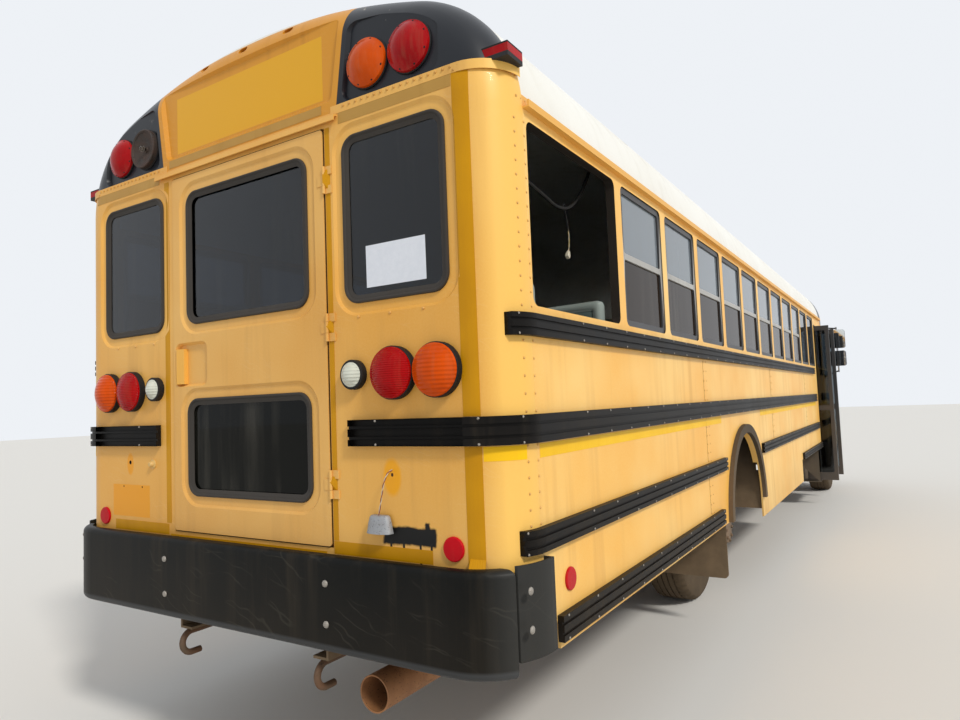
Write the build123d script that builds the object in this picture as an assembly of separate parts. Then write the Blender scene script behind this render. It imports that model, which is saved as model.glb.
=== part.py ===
"""School bus with a hinged nose, an emergency door at the back and an open entrance door.

Millimetres, +X forward, +Y to the driver's side, +Z up, ground at z = 0.
While it is modelled, x counts forward from the outer face of the rear wall.
save() then moves everything so that the origin is at the middle of the footprint.
"""
from build123d import *
from math import atan2, cos, pi, radians, sin, sqrt, tan
import os

os.makedirs("parts", exist_ok=True)

# Overall sizes of the body
BODY_WIDTH = 2438.0
HALF_WIDTH = BODY_WIDTH / 2
BODY_LENGTH = 9400.0
WALL = 40.0
CORNER_R = 160.0
SEAT_GAP = 0.3
EAVE_Z = 2487.0
SHOULDER_R = 500.0
CROWN_R = 2850.0
CROWN_CENTRE_Z = EAVE_Z - sqrt((CROWN_R - SHOULDER_R) ** 2 - (HALF_WIDTH - SHOULDER_R) ** 2)
ROOF_TOP_Z = CROWN_CENTRE_Z + CROWN_R
REAR_SHELL_LENGTH = 170.0
CAP_Z = 2600.0
REAR_WALL_LOW_Z = 870.0
SIDE_REAR_LOW_Z = 770.0

# Floor and the frame below it
FLOOR_TOP = 1030.0
FLOOR_THICKNESS = 30.0
FLOOR_LOW = FLOOR_TOP - FLOOR_THICKNESS
RAIL_TOP = 857.0
RAIL_HEIGHT = 257.0
RAIL_LOW = RAIL_TOP - RAIL_HEIGHT
RAIL_FACE_Y = 432.0
RAIL_FLANGE = 76.0
RAIL_WEB = 10.0
FRONT_RAIL_TOP = 760.0
RAIL_TAPER_X = 10150.0
SILL_WIDTH = 44.0

# Windows along the sides
WINDOW_COUNT = 12
POST_PITCH = 646.2
FIRST_POST_X = 1075.4
POST_WIDTH = 75.0
WINDOW_SILL_Z = 1820.0
WINDOW_HEAD_Z = 2455.0
WINDOW_CORNER_R = 35.0
SASH_FRAME = 28.0
SASH_DEPTH = 24.0
GLASS_THICKNESS = 5.0
DRIVER_WINDOW = (8300.0, 8930.0)

# Entrance doorway and its two leaves
DOORWAY_REAR_X = 8195.0
LEAF_WIDTH = 365.0
LEAF_THICKNESS = 30.0
LEAF_POST_GAP = 40.0
LEAF_CENTRE_GAP = 12.0
DOORWAY_FRONT_X = DOORWAY_REAR_X + 2 * (LEAF_POST_GAP + LEAF_WIDTH) + LEAF_CENTRE_GAP
LEAF_LOW_Z = 326.0
LEAF_HIGH_Z = 2360.0
DOORWAY_HIGH_Z = 2378.0
LEAF_PIVOT_INSET = 94.0
LEAF_PIVOT_FROM_EDGE = 95.0
LEAF_FRAME = 46.0
LEAF_ROD_R = 14.0
FIRST_TREAD_Z = 312.0
STEP_COUNT = 3
STEP_PLATE = 8.0

# Emergency door in the rear wall
REAR_DOOR_HALF = 468.0
REAR_DOOR_LOW_Z = 1002.0
REAR_DOOR_HIGH_Z = 2552.0
REAR_DOOR_GAP = 6.0
REAR_DOOR_PROUD = 6.0
REAR_DOOR_HINGE_OUT = 8.0
HINGE_BARREL_R = 6.0

# Skirts: lower edges of the side panels
REAR_SKIRT_Z = 677.0
REAR_SKIRT_X = 278.0
MID_SKIRT_Z = 530.0
STEP_SKIRT_X = 6320.0
STEP_SKIRT_Z = 760.0
SKIRT_SHEET = 12.0

# Wheels
WHEEL_R = 524.5
TYRE_WIDTH = 279.0
RIM_R = 285.75
RIM_FLANGE_R = 300.0
RIM_HALF = 122.0
RIM_SHEET = 9.0
DISC_OFFSET = 168.0
DISC_THICKNESS = 12.0
HUB_R = 109.5
STUD_COUNT = 10
STUD_CIRCLE = 285.75
STUD_R = 11.0
NUT_R = 19.0
NUT_LENGTH = 24.0
NUT_CROWN = 7.0
NUT_CROWN_TAPER = 40.0
REAR_AXLE_X = 3390.0
WHEELBASE = 6452.0
FRONT_AXLE_X = REAR_AXLE_X + WHEELBASE
REAR_MOUNT_Y = 885.0
FRONT_WHEEL_Y = 1010.0
KINGPIN_Y = 865.0
ARCH_HALF = 561.0
ARCH_TOP_Z = 1217.0
ARCH_TRIM = 62.0
ARCH_TRIM_OUT = 28.0
FRONT_ARCH_R = 620.0
WHEELHOUSE_SHEET = 8.0
WHEELHOUSE_INNER_Y = 562.0
WHEELHOUSE_TOP_Z = 1240.0

# Bumpers
BUMPER_OUT = 75.0
BUMPER_SHEET = 8.0
BUMPER_LOW_Z = 660.0
BUMPER_HIGH_Z = 990.0
BUMPER_HALF = 1253.0
BUMPER_R = 240.0
BUMPER_LIP = 40.0
BUMPER_END_X = 20.0
FRONT_BUMPER_BACK_X = 10722.0
FRONT_BUMPER_FACE_X = 10850.0
FRONT_BUMPER_LOW_Z = 520.0
FRONT_BUMPER_HIGH_Z = 768.0
FRONT_BUMPER_HALF = 1190.0

# Nose
COWL_TOP_Z = 1560.0
WINDSHIELD_TOP_Z = 2440.0
WINDSHIELD_TOP_X = 9250.0
COWL_X = BODY_LENGTH
FRONT_CORNER_R = 120.0
HOOD_GAP = 8.0
HOOD_SHEET = 10.0
HOOD_REAR_X = COWL_X + HOOD_GAP
HOOD_FRONT_X = 10670.0
HOOD_REAR_HALF = 930.0
HOOD_FRONT_HALF = 640.0
HOOD_REAR_TOP = 1540.0
HOOD_FRONT_TOP = 1290.0
HOOD_LOW_Z = 800.0
FENDER_OUT_Y = 1205.0
FENDER_IN_Y = 600.0
FENDER_LOW_Z = 640.0
FENDER_FRONT_X = 10600.0

# Exhaust
TAILPIPE_R = 63.5
TAILPIPE_Y = -640.0
TAILPIPE_Z = 523.0

FRONT_END_X = FRONT_BUMPER_FACE_X
CENTRE_X = (FRONT_END_X - BUMPER_OUT) / 2


def save(name, *pieces):
    """Write every solid of the pieces as one node, in the bus's own frame."""
    solids = [Pos(-CENTRE_X, 0, 0) * solid for piece in pieces for solid in piece.solids()]
    export_step(solids[0] if len(solids) == 1 else Compound(solids), f"parts/{name}.step")
    print(name, len(solids), "solids")


def block(x0, x1, y0, y1, z0, z1):
    return Pos((x0 + x1) / 2, (y0 + y1) / 2, (z0 + z1) / 2) * Box(x1 - x0, y1 - y0, z1 - z0)


def rod(start, end, radius):
    span = Vector(*end) - Vector(*start)
    low = (Align.CENTER, Align.CENTER, Align.MIN)
    return Plane(origin=start, z_dir=span).location * Cylinder(radius, span.length, align=low)


def prism_x(sketch, x0, x1):
    """Extrude a sketch drawn in (y, z) from x0 to x1."""
    return extrude(Plane.YZ.offset(x0) * sketch, x1 - x0)


def prism_y(sketch, y0, y1):
    """Extrude a sketch drawn in (x, z) from y0 to y1."""
    return extrude(Plane.XZ.offset(-y1) * sketch, y1 - y0)


def prism_z(sketch, z0, z1):
    """Extrude a sketch drawn in (x, y) from z0 to z1."""
    return extrude(Plane.XY.offset(z0) * sketch, z1 - z0)


def polygon(*points):
    return make_face(Polyline(*points, close=True))


def rounded(x, y, width, height, radius):
    return Pos(x, y) * RectangleRounded(width, height, radius)


def both_sides(piece):
    return [piece, mirror(piece, about=Plane.XZ)]


def side_of(piece, side):
    """A piece drawn on the +Y side, as it is on side +1 or mirrored to side -1."""
    return piece if side > 0 else mirror(piece, about=Plane.XZ)


def roof_section(inset, low_z):
    """Cross-section of the body in (y, z): straight sides, shoulder arcs and a crowned roof."""
    half = HALF_WIDTH - inset
    shoulder = SHOULDER_R - inset
    crown = CROWN_R - inset
    shoulder_y = HALF_WIDTH - SHOULDER_R
    lean = atan2(EAVE_Z - CROWN_CENTRE_Z, shoulder_y)
    meet = (crown * cos(lean), CROWN_CENTRE_Z + crown * sin(lean))
    half_way = (shoulder_y + shoulder * cos(lean / 2), EAVE_Z + shoulder * sin(lean / 2))
    outline = Polyline((-half, EAVE_Z), (-half, low_z), (half, low_z), (half, EAVE_Z))
    outline += ThreePointArc((half, EAVE_Z), half_way, meet)
    outline += ThreePointArc(meet, (0, CROWN_CENTRE_Z + crown), (-meet[0], meet[1]))
    outline += ThreePointArc((-meet[0], meet[1]), (-half_way[0], half_way[1]), (-half, EAVE_Z))
    return make_face(outline)


def rear_form(inset):
    """The rear end as a solid: the body section with its back edge rounded all the way round."""
    low_z = REAR_WALL_LOW_Z - (1 if inset else 0)
    length = REAR_SHELL_LENGTH + (1 if inset else 0)
    form = prism_x(roof_section(inset, low_z), inset, length)
    rim = form.edges().filter_by_position(Axis.X, inset - 0.1, inset + 0.1)
    rim = [edge for edge in rim if edge.center().Z > low_z + 1]
    return fillet(rim, CORNER_R - inset)


def plan_outline(rear_x, front_x, half, radius):
    """Plan of the body or a rail round it: a rectangle with its two rear corners rounded."""
    corner = radius * (1 - cos(pi / 4))
    outline = Polyline((rear_x + radius, half), (front_x, half), (front_x, -half), (rear_x + radius, -half))
    outline += ThreePointArc(
        (rear_x + radius, -half), (rear_x + corner, -half + corner), (rear_x, -half + radius)
    )
    outline += Line((rear_x, -half + radius), (rear_x, half - radius))
    outline += ThreePointArc(
        (rear_x, half - radius), (rear_x + corner, half - corner), (rear_x + radius, half)
    )
    return make_face(outline)


def plan_band(inner, outer, z0, z1):
    """A band round the sides and rear of the body, from one distance out to another."""
    far = DOORWAY_REAR_X
    out = plan_outline(-outer, far, HALF_WIDTH + outer, CORNER_R + outer)
    core = plan_outline(-inner, far + 1, HALF_WIDTH + inner, CORNER_R + inner)
    return prism_z(out - core, z0, z1)


# Rear wall, cap and emergency door
# name, centre y, centre z, width, height, corner radius of the cut for the glass
REAR_WINDOW = (779.5, 2186.0, 453.0, 614.0, 60.0)
DOOR_WINDOWS = (
    (0.0, 2180.0, 733.0, 576.0, 60.0),
    (0.0, 1363.0, 733.0, 406.0, 60.0),
)
EMBOSS_BORDER = 48.0
EMBOSS_DEPTH = 9.0
RUBBER = 14.0


def rear_pocket(window, face_x):
    """The pressed border round a rear window, with sloping sides."""
    y, z, width, height, radius = window
    grown = rounded(y, z, width + 2 * EMBOSS_BORDER, height + 2 * EMBOSS_BORDER, radius + EMBOSS_BORDER)
    return extrude(Plane.YZ.offset(face_x) * grown, EMBOSS_DEPTH, taper=50)


def rear_cut(window, x0, x1):
    y, z, width, height, radius = window
    return prism_x(rounded(y, z, width, height, radius), x0, x1)


rear_shell = rear_form(0) - rear_form(WALL)
door_hole = block(
    -50, WALL + 30, -REAR_DOOR_HALF, REAR_DOOR_HALF, REAR_DOOR_LOW_Z, REAR_DOOR_HIGH_Z
)
rear_wall = rear_shell & block(-50, REAR_SHELL_LENGTH, -HALF_WIDTH, HALF_WIDTH, 0, CAP_Z)
rear_wall -= door_hole
right_window = (-REAR_WINDOW[0],) + REAR_WINDOW[1:]
for window in (REAR_WINDOW, right_window):
    rear_wall -= rear_pocket(window, 0)
    rear_wall -= rear_cut(window, -50, WALL + 30)

# The bare place of the licence plate, on the driver's side
PLATE_Y = 790.0
PLATE_HOLES_Z = 1182.0
PLATE_HOLE_SPACING = 146.0
PLATE_HOLE_R = 4.0
for step in (-0.5, 0.5):
    hole_y = PLATE_Y + step * PLATE_HOLE_SPACING
    rear_wall -= rod((-10, hole_y, PLATE_HOLES_Z), (WALL + 10, hole_y, PLATE_HOLES_Z), PLATE_HOLE_R)

# The hole left by the lamp that is gone from over the plate: y, z, radius
WIRE_HOLE = (809.0, 1292.0, 9.0)
hole_y, hole_z, hole_r = WIRE_HOLE
rear_wall -= rod((-10, hole_y, hole_z), (WALL + 10, hole_y, hole_z), hole_r)

# Drip rail over the emergency door: its profile in (x, z), and the y of its two ends
DRIP_PROFILE = ((2, 2590), (-16, 2584), (-19, 2563), (-15, 2562), (-12, 2578), (2, 2583))
DRIP_ENDS_Y = (-534.0, 578.0)
rear_wall += prism_y(polygon(*DRIP_PROFILE), *DRIP_ENDS_Y)
save("rear_wall", rear_wall)

# Recesses of the cap: one for the sign and one on each side for a pair of warning lamps
SIGN_POCKET = ((-508, 2646), (508, 2646), (560, 2972), (-560, 2972))
LAMP_POCKET = ((556, 2622), (1000, 2622), (1000, 2790), (890, 2905), (600, 2925))
CAP_POCKET_DEPTH = 16.0
WARNING_LAMP_Z = 2742.0
AMBER_WARNING_Y = 680.0
RED_WARNING_Y = 872.0
WARNING_LAMP_R = 90.0
CLEARANCE_HOLE_Z = 3010.0
CLEARANCE_HOLE_SPACING = 262.0

rear_cap = rear_shell & block(
    -50, REAR_SHELL_LENGTH, -HALF_WIDTH, HALF_WIDTH, CAP_Z + SEAT_GAP, ROOF_TOP_Z + 1
)
sign_pocket = fillet(polygon(*SIGN_POCKET).vertices(), 30)
rear_cap -= extrude(Plane.YZ * sign_pocket, CAP_POCKET_DEPTH, taper=40)
lamp_pocket = fillet(polygon(*LAMP_POCKET).vertices(), 45)
lamp_recess = extrude(Plane.YZ * lamp_pocket, CAP_POCKET_DEPTH, taper=30)
for recess in both_sides(lamp_recess):
    rear_cap -= recess
for step in (-1, 0, 1):
    hole_y = step * CLEARANCE_HOLE_SPACING
    start = (-10, hole_y, CLEARANCE_HOLE_Z)
    slot = Plane(origin=start, z_dir=(1, 0, 0), x_dir=(0, 1, 0)) * SlotOverall(52, 26)
    rear_cap -= extrude(slot, 2 * WALL)
save("rear_cap", rear_cap)

# Emergency door: hinged on the kerb side, with a pull recess on the driver's side
DOOR_SKIN_X = -REAR_DOOR_PROUD
door_panel = block(
    DOOR_SKIN_X, WALL, -REAR_DOOR_HALF + REAR_DOOR_GAP, REAR_DOOR_HALF - REAR_DOOR_GAP,
    REAR_DOOR_LOW_Z + REAR_DOOR_GAP, REAR_DOOR_HIGH_Z - REAR_DOOR_GAP,
)
door_panel = fillet(door_panel.edges().filter_by(Axis.X), 12)
for window in DOOR_WINDOWS:
    door_panel -= rear_pocket(window, DOOR_SKIN_X)
    door_panel -= rear_cut(window, -50, WALL + 30)
# Pull recess: centre y, centre z, width, height, corner radius
PULL_RECESS = (341.0, 1717.0, 218.0, 190.0, 34.0)
PULL_DEPTH = 18.0
# Section of the lever in it, in (x, y), and the z of its two ends
LEVER_PROFILE = ((13, 388), (13, 444), (-9, 444), (-13, 432), (-7, 388))
LEVER_ENDS_Z = (1634.0, 1786.0)
pull_recess = Plane.YZ.offset(DOOR_SKIN_X) * rounded(*PULL_RECESS)
door_panel -= extrude(pull_recess, PULL_DEPTH, taper=30)
door_panel += prism_z(polygon(*LEVER_PROFILE), *LEVER_ENDS_Z)
HINGE_Y = -REAR_DOOR_HALF - 2
HINGE_X = DOOR_SKIN_X - REAR_DOOR_HINGE_OUT + 4
HINGE_LEAF = 34.0
HINGE_STRAP = 5.0
REAR_HINGE_Z = (1230.0, 1800.0, 2350.0)
hinge_knuckles = []
for hinge_z in REAR_HINGE_Z:
    barrel = rod((HINGE_X, HINGE_Y, hinge_z - 20), (HINGE_X, HINGE_Y, hinge_z + 20), HINGE_BARREL_R)
    strap = block(
        DOOR_SKIN_X - 3, DOOR_SKIN_X + 1, HINGE_Y, HINGE_Y + HINGE_LEAF, hinge_z - 20, hinge_z + 20
    )
    door_panel += barrel + strap
    for end in (-1, 1):
        middle = hinge_z + end * 36
        outer = rod((HINGE_X, HINGE_Y, middle - 15), (HINGE_X, HINGE_Y, middle + 15), HINGE_BARREL_R)
        strap = block(
            -SEAT_GAP - HINGE_STRAP, -SEAT_GAP, HINGE_Y - HINGE_LEAF, HINGE_Y, middle - 15, middle + 15
        )
        hinge_knuckles.append(outer + strap)
save("rear_door", door_panel)
save("rear_door_hinges", *hinge_knuckles)


def pane_x(window, x0, x1, inset=SEAT_GAP):
    y, z, width, height, radius = window
    return prism_x(rounded(y, z, width - 2 * inset, height - 2 * inset, radius - inset), x0, x1)


REAR_GLASS_X = EMBOSS_DEPTH + 4.0
save("rear_door_glass", *[pane_x(window, REAR_GLASS_X, REAR_GLASS_X + GLASS_THICKNESS)
                          for window in DOOR_WINDOWS])

# Side walls


def arch_cut(y0, y1):
    """The rear wheel's arch: a half round on straight legs."""
    centre_z = ARCH_TOP_Z - ARCH_HALF
    x0 = REAR_AXLE_X - ARCH_HALF
    x1 = REAR_AXLE_X + ARCH_HALF
    outline = Polyline((x0, centre_z), (x0, 0), (x1, 0), (x1, centre_z))
    outline += ThreePointArc((x1, centre_z), (REAR_AXLE_X, ARCH_TOP_Z), (x0, centre_z))
    return prism_y(make_face(outline), y0, y1)


def window_span(number):
    """Rear and front edge of one side window, counted from the rear."""
    post_front = FIRST_POST_X + POST_PITCH * number
    if number == 0:
        return (190.0, post_front - POST_WIDTH)
    return (post_front - POST_PITCH, post_front - POST_WIDTH)


def window_cut(x0, x1, y0, y1):
    height = WINDOW_HEAD_Z - WINDOW_SILL_Z
    hole = rounded((x0 + x1) / 2, (WINDOW_SILL_Z + WINDOW_HEAD_Z) / 2, x1 - x0, height, WINDOW_CORNER_R)
    return prism_y(hole, y0, y1)


INNER_Y = HALF_WIDTH - WALL
SIDE_OUTLINES = {
    -1: ((REAR_SHELL_LENGTH + SEAT_GAP, EAVE_Z), (DOORWAY_FRONT_X, EAVE_Z),
         (DOORWAY_FRONT_X, DOORWAY_HIGH_Z), (DOORWAY_REAR_X, DOORWAY_HIGH_Z),
         (DOORWAY_REAR_X, STEP_SKIRT_Z), (STEP_SKIRT_X, STEP_SKIRT_Z),
         (STEP_SKIRT_X, MID_SKIRT_Z), (REAR_AXLE_X, MID_SKIRT_Z), (REAR_AXLE_X, REAR_SKIRT_Z),
         (REAR_SKIRT_X, REAR_SKIRT_Z), (REAR_SKIRT_X, SIDE_REAR_LOW_Z),
         (REAR_SHELL_LENGTH + SEAT_GAP, SIDE_REAR_LOW_Z)),
    1: ((REAR_SHELL_LENGTH + SEAT_GAP, EAVE_Z), (DOORWAY_FRONT_X, EAVE_Z),
        (DOORWAY_FRONT_X, STEP_SKIRT_Z), (STEP_SKIRT_X + 1200, STEP_SKIRT_Z),
        (STEP_SKIRT_X + 1200, MID_SKIRT_Z), (REAR_AXLE_X, MID_SKIRT_Z),
        (REAR_AXLE_X, REAR_SKIRT_Z), (REAR_SKIRT_X, REAR_SKIRT_Z),
        (REAR_SKIRT_X, SIDE_REAR_LOW_Z), (REAR_SHELL_LENGTH + SEAT_GAP, SIDE_REAR_LOW_Z)),
}


def side_wall(side):
    low_y, high_y = sorted((side * INNER_Y, side * HALF_WIDTH))
    wall = prism_y(polygon(*SIDE_OUTLINES[side]), low_y, high_y)
    skirt_in, skirt_out = sorted((side * (INNER_Y - 1), side * (HALF_WIDTH - SKIRT_SHEET)))
    wall -= block(0, BODY_LENGTH, skirt_in, skirt_out, 0, FLOOR_LOW - 40)
    cut_low, cut_high = sorted((side * (INNER_Y - 20), side * (HALF_WIDTH + 20)))
    wall -= arch_cut(cut_low, cut_high)
    for number in range(WINDOW_COUNT):
        x0, x1 = window_span(number)
        wall -= window_cut(x0, x1, cut_low, cut_high)
    if side > 0:
        wall -= window_cut(*DRIVER_WINDOW, cut_low, cut_high)
    return wall


DOOR_HEADER_IN = 185.0
door_header = block(
    DOORWAY_REAR_X, DOORWAY_FRONT_X, -INNER_Y + SEAT_GAP, -INNER_Y + DOOR_HEADER_IN, DOORWAY_HIGH_Z, EAVE_Z - 8
)
save("side_wall_right", side_wall(-1), door_header)
save("side_wall_left", side_wall(1))


def sash(x0, x1, side, split):
    """An aluminium sash that fills one window, with a meeting bar where the window is split."""
    y0, y1 = sorted((side * (HALF_WIDTH - 30), side * (HALF_WIDTH - 30 + SASH_DEPTH)))
    width = x1 - x0 - 2 * SEAT_GAP
    height = WINDOW_HEAD_Z - WINDOW_SILL_Z - 2 * SEAT_GAP
    x = (x0 + x1) / 2
    z = (WINDOW_SILL_Z + WINDOW_HEAD_Z) / 2
    outer = rounded(x, z, width, height, WINDOW_CORNER_R)
    if not split:
        return prism_y(outer - rounded(x, z, width - 2 * SASH_FRAME, height - 2 * SASH_FRAME, 14), y0, y1)
    pane = (height - 3 * SASH_FRAME) / 2
    face = outer
    for step in (-0.5, 0.5):
        face -= rounded(x, z + step * (pane + SASH_FRAME), width - 2 * SASH_FRAME, pane, 14)
    return prism_y(face, y0, y1)


def panes(x0, x1, side, split):
    y0, y1 = sorted((side * (HALF_WIDTH - 20), side * (HALF_WIDTH - 20 + GLASS_THICKNESS)))
    width = x1 - x0 - 2 * SASH_FRAME - 4 * SEAT_GAP
    height = WINDOW_HEAD_Z - WINDOW_SILL_Z - 2 * SEAT_GAP
    x = (x0 + x1) / 2
    z = (WINDOW_SILL_Z + WINDOW_HEAD_Z) / 2
    if not split:
        return [prism_y(rounded(x, z, width, height - 2 * SASH_FRAME - 2 * SEAT_GAP, 13), y0, y1)]
    pane = (height - 3 * SASH_FRAME) / 2
    return [
        prism_y(rounded(x, z + step * (pane + SASH_FRAME), width, pane - 2 * SEAT_GAP, 13), y0, y1)
        for step in (-0.5, 0.5)
    ]


sashes = []
glass = []
for side in (-1, 1):
    for number in range(WINDOW_COUNT):
        missing = side < 0 and number == 0
        if missing:
            continue
        split = number < WINDOW_COUNT - 2
        x0, x1 = window_span(number)
        sashes.append(sash(x0, x1, side, split))
        glass += panes(x0, x1, side, split)
sashes.append(sash(*DRIVER_WINDOW, 1, True))
glass += panes(*DRIVER_WINDOW, 1, True)
save("side_sashes", *sashes)
for window in (REAR_WINDOW, right_window):
    glass.append(pane_x(window, REAR_GLASS_X, REAR_GLASS_X + GLASS_THICKNESS))
save("body_glass", *glass)

# Roof: a crowned shell with a drip rail on each side and an escape hatch
ROOF_FRONT_X = 8890.0
DRIP_OUT = 25.0
DRIP_HEIGHT = 26.0
HATCH_X = 6000.0
HATCH_SIZE = 620.0
HATCH_FRAME = 40.0
HATCH_RISE = 34.0
roof = prism_x(
    roof_section(0, EAVE_Z - 20) - roof_section(WALL, EAVE_Z - 50),
    REAR_SHELL_LENGTH + SEAT_GAP, ROOF_FRONT_X,
)
roof &= block(0, BODY_LENGTH, -HALF_WIDTH, HALF_WIDTH, EAVE_Z + SEAT_GAP, ROOF_TOP_Z + 1)
drip = polygon(
    (HALF_WIDTH - 6, EAVE_Z + SEAT_GAP), (HALF_WIDTH + DRIP_OUT, EAVE_Z + SEAT_GAP),
    (HALF_WIDTH + DRIP_OUT, EAVE_Z + DRIP_HEIGHT), (HALF_WIDTH + DRIP_OUT - 5, EAVE_Z + DRIP_HEIGHT),
    (HALF_WIDTH + DRIP_OUT - 5, EAVE_Z + 6), (HALF_WIDTH - 6, EAVE_Z + 6),
)
for rail in both_sides(prism_x(drip, REAR_SHELL_LENGTH + SEAT_GAP, ROOF_FRONT_X)):
    roof += rail
hatch_half = HATCH_SIZE / 2
roof -= block(
    HATCH_X - hatch_half + HATCH_FRAME, HATCH_X + hatch_half - HATCH_FRAME,
    -hatch_half + HATCH_FRAME, hatch_half - HATCH_FRAME, EAVE_Z + 200, ROOF_TOP_Z + 1,
)
curb = block(
    HATCH_X - hatch_half, HATCH_X + hatch_half, -hatch_half, hatch_half, ROOF_TOP_Z - 40,
    ROOF_TOP_Z + HATCH_RISE,
)
curb -= block(
    HATCH_X - hatch_half + HATCH_FRAME, HATCH_X + hatch_half - HATCH_FRAME,
    -hatch_half + HATCH_FRAME, hatch_half - HATCH_FRAME, ROOF_TOP_Z - 100, ROOF_TOP_Z + 100,
)
roof += curb
save("roof", roof)

HATCH_LID = 26.0
HATCH_HINGE_OUT = 16.0
HATCH_HINGE_Y = 200.0
HATCH_BARREL_R = 10.0
lid_z = ROOF_TOP_Z + HATCH_RISE + SEAT_GAP
hatch_lid = block(
    HATCH_X - hatch_half - 10, HATCH_X + hatch_half + 10, -hatch_half - 10, hatch_half + 10,
    lid_z, lid_z + HATCH_LID,
)
hatch_lid = fillet(hatch_lid.edges().filter_by(Axis.Z), 40)
hatch_lid = fillet(hatch_lid.faces().sort_by(Axis.Z)[-1].edges(), 14)
hinge_x = HATCH_X + hatch_half + HATCH_HINGE_OUT
for hinge_y in (-HATCH_HINGE_Y, HATCH_HINGE_Y):
    barrel = rod((hinge_x, hinge_y - 40, lid_z), (hinge_x, hinge_y + 40, lid_z), HATCH_BARREL_R)
    hatch_lid += barrel
save("roof_hatch", hatch_lid)

# Front end: cap over the windshield, pillars, cowl and windshield
front_cap = prism_x(roof_section(0, WINDSHIELD_TOP_Z), ROOF_FRONT_X + SEAT_GAP, WINDSHIELD_TOP_X)
cap_rim = front_cap.edges().filter_by_position(Axis.X, WINDSHIELD_TOP_X - 0.1, WINDSHIELD_TOP_X + 0.1)
cap_rim = [edge for edge in cap_rim if edge.center().Z > WINDSHIELD_TOP_Z + 1]
front_cap = fillet(cap_rim, FRONT_CORNER_R)
cap_core = prism_x(
    roof_section(WALL, WINDSHIELD_TOP_Z - 1), ROOF_FRONT_X, WINDSHIELD_TOP_X - WALL
)
core_x = WINDSHIELD_TOP_X - WALL
core_rim = cap_core.edges().filter_by_position(Axis.X, core_x - 0.1, core_x + 0.1)
core_rim = [edge for edge in core_rim if edge.center().Z > WINDSHIELD_TOP_Z]
front_cap -= fillet(core_rim, FRONT_CORNER_R - WALL)
front_cap -= block(
    ROOF_FRONT_X, DOORWAY_FRONT_X + SEAT_GAP, -HALF_WIDTH - 1, HALF_WIDTH + 1, 0, EAVE_Z + SEAT_GAP
)
# It has the rear cap's recesses, for a sign and four warning lamps
FRONT_FROM_REAR = Plane.YZ.offset(WINDSHIELD_TOP_X / 2)
front_cap -= mirror(extrude(Plane.YZ * sign_pocket, CAP_POCKET_DEPTH, taper=40), about=FRONT_FROM_REAR)
for recess in both_sides(lamp_recess):
    front_cap -= mirror(recess, about=FRONT_FROM_REAR)
save("front_cap", front_cap)


def front_plan(front_x, inset):
    """Plan of the front end, from the doorway's front edge to the windshield."""
    half = HALF_WIDTH - inset
    rear_x = DOORWAY_FRONT_X + SEAT_GAP if inset == 0 else DOORWAY_FRONT_X - 1
    radius = FRONT_CORNER_R - inset
    front = front_x - inset
    corner = radius * (1 - cos(pi / 4))
    outline = Polyline((front - radius, half), (rear_x, half), (rear_x, -half), (front - radius, -half))
    outline += ThreePointArc(
        (front - radius, -half), (front - corner, -half + corner), (front, -half + radius)
    )
    outline += Line((front, -half + radius), (front, half - radius))
    outline += ThreePointArc(
        (front, half - radius), (front - corner, half - corner), (front - radius, half)
    )
    return make_face(outline)


def raked(inset):
    low = Plane.XY.offset(COWL_TOP_Z) * front_plan(COWL_X, inset)
    high = Plane.XY.offset(WINDSHIELD_TOP_Z - SEAT_GAP) * front_plan(WINDSHIELD_TOP_X, inset)
    return loft([low, high], ruled=True)


RAKE = (COWL_X - WINDSHIELD_TOP_X) / (WINDSHIELD_TOP_Z - COWL_TOP_Z)
PANE_LOW_Z = COWL_TOP_Z + 110.0
PANE_HIGH_Z = WINDSHIELD_TOP_Z - 80.0
PANE_IN_Y = 22.0
PANE_OUT_Y = 1050.0


def raked_x(z):
    return COWL_X - (z - COWL_TOP_Z) * RAKE


def windshield_pane(low_y, high_y, shrink, depth0, depth1):
    """A pane of the windshield, leaning with the pillars, from one depth in to another."""
    middle_z = (PANE_LOW_Z + PANE_HIGH_Z) / 2
    middle = (raked_x(middle_z), (low_y + high_y) / 2, middle_z)
    plane = Plane(origin=middle, x_dir=(0, 1, 0), z_dir=(1, 0, RAKE))
    height = (PANE_HIGH_Z - PANE_LOW_Z) * sqrt(1 + RAKE ** 2)
    face = RectangleRounded(high_y - low_y - 2 * shrink, height - 2 * shrink, 70 - shrink)
    return extrude(plane.offset(-depth1) * face, depth1 - depth0)


front_wall = prism_z(front_plan(COWL_X, 0) - front_plan(COWL_X, WALL), STEP_SKIRT_Z, COWL_TOP_Z)
front_wall += raked(0) - raked(WALL)
for low_y, high_y in ((PANE_IN_Y, PANE_OUT_Y), (-PANE_OUT_Y, -PANE_IN_Y)):
    front_wall -= windshield_pane(low_y, high_y, 0, -60, 110)
QUARTER_X = (DOORWAY_FRONT_X + 55, 9180.0)
QUARTER_Z = 2100.0
QUARTER_HEIGHT = 560.0
front_wall -= prism_y(
    rounded(sum(QUARTER_X) / 2, QUARTER_Z, QUARTER_X[1] - QUARTER_X[0], QUARTER_HEIGHT, 40),
    -HALF_WIDTH - 50, HALF_WIDTH + 50,
)
front_arch = rod(
    (FRONT_AXLE_X, -HALF_WIDTH - 50, WHEEL_R), (FRONT_AXLE_X, HALF_WIDTH + 50, WHEEL_R), FRONT_ARCH_R + 20
)
front_wall -= front_arch
front_wall -= block(COWL_X - 200, COWL_X + 1, -HALF_WIDTH + 130, HALF_WIDTH - 130, 0, FLOOR_LOW)
save("front_wall", front_wall)

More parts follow.
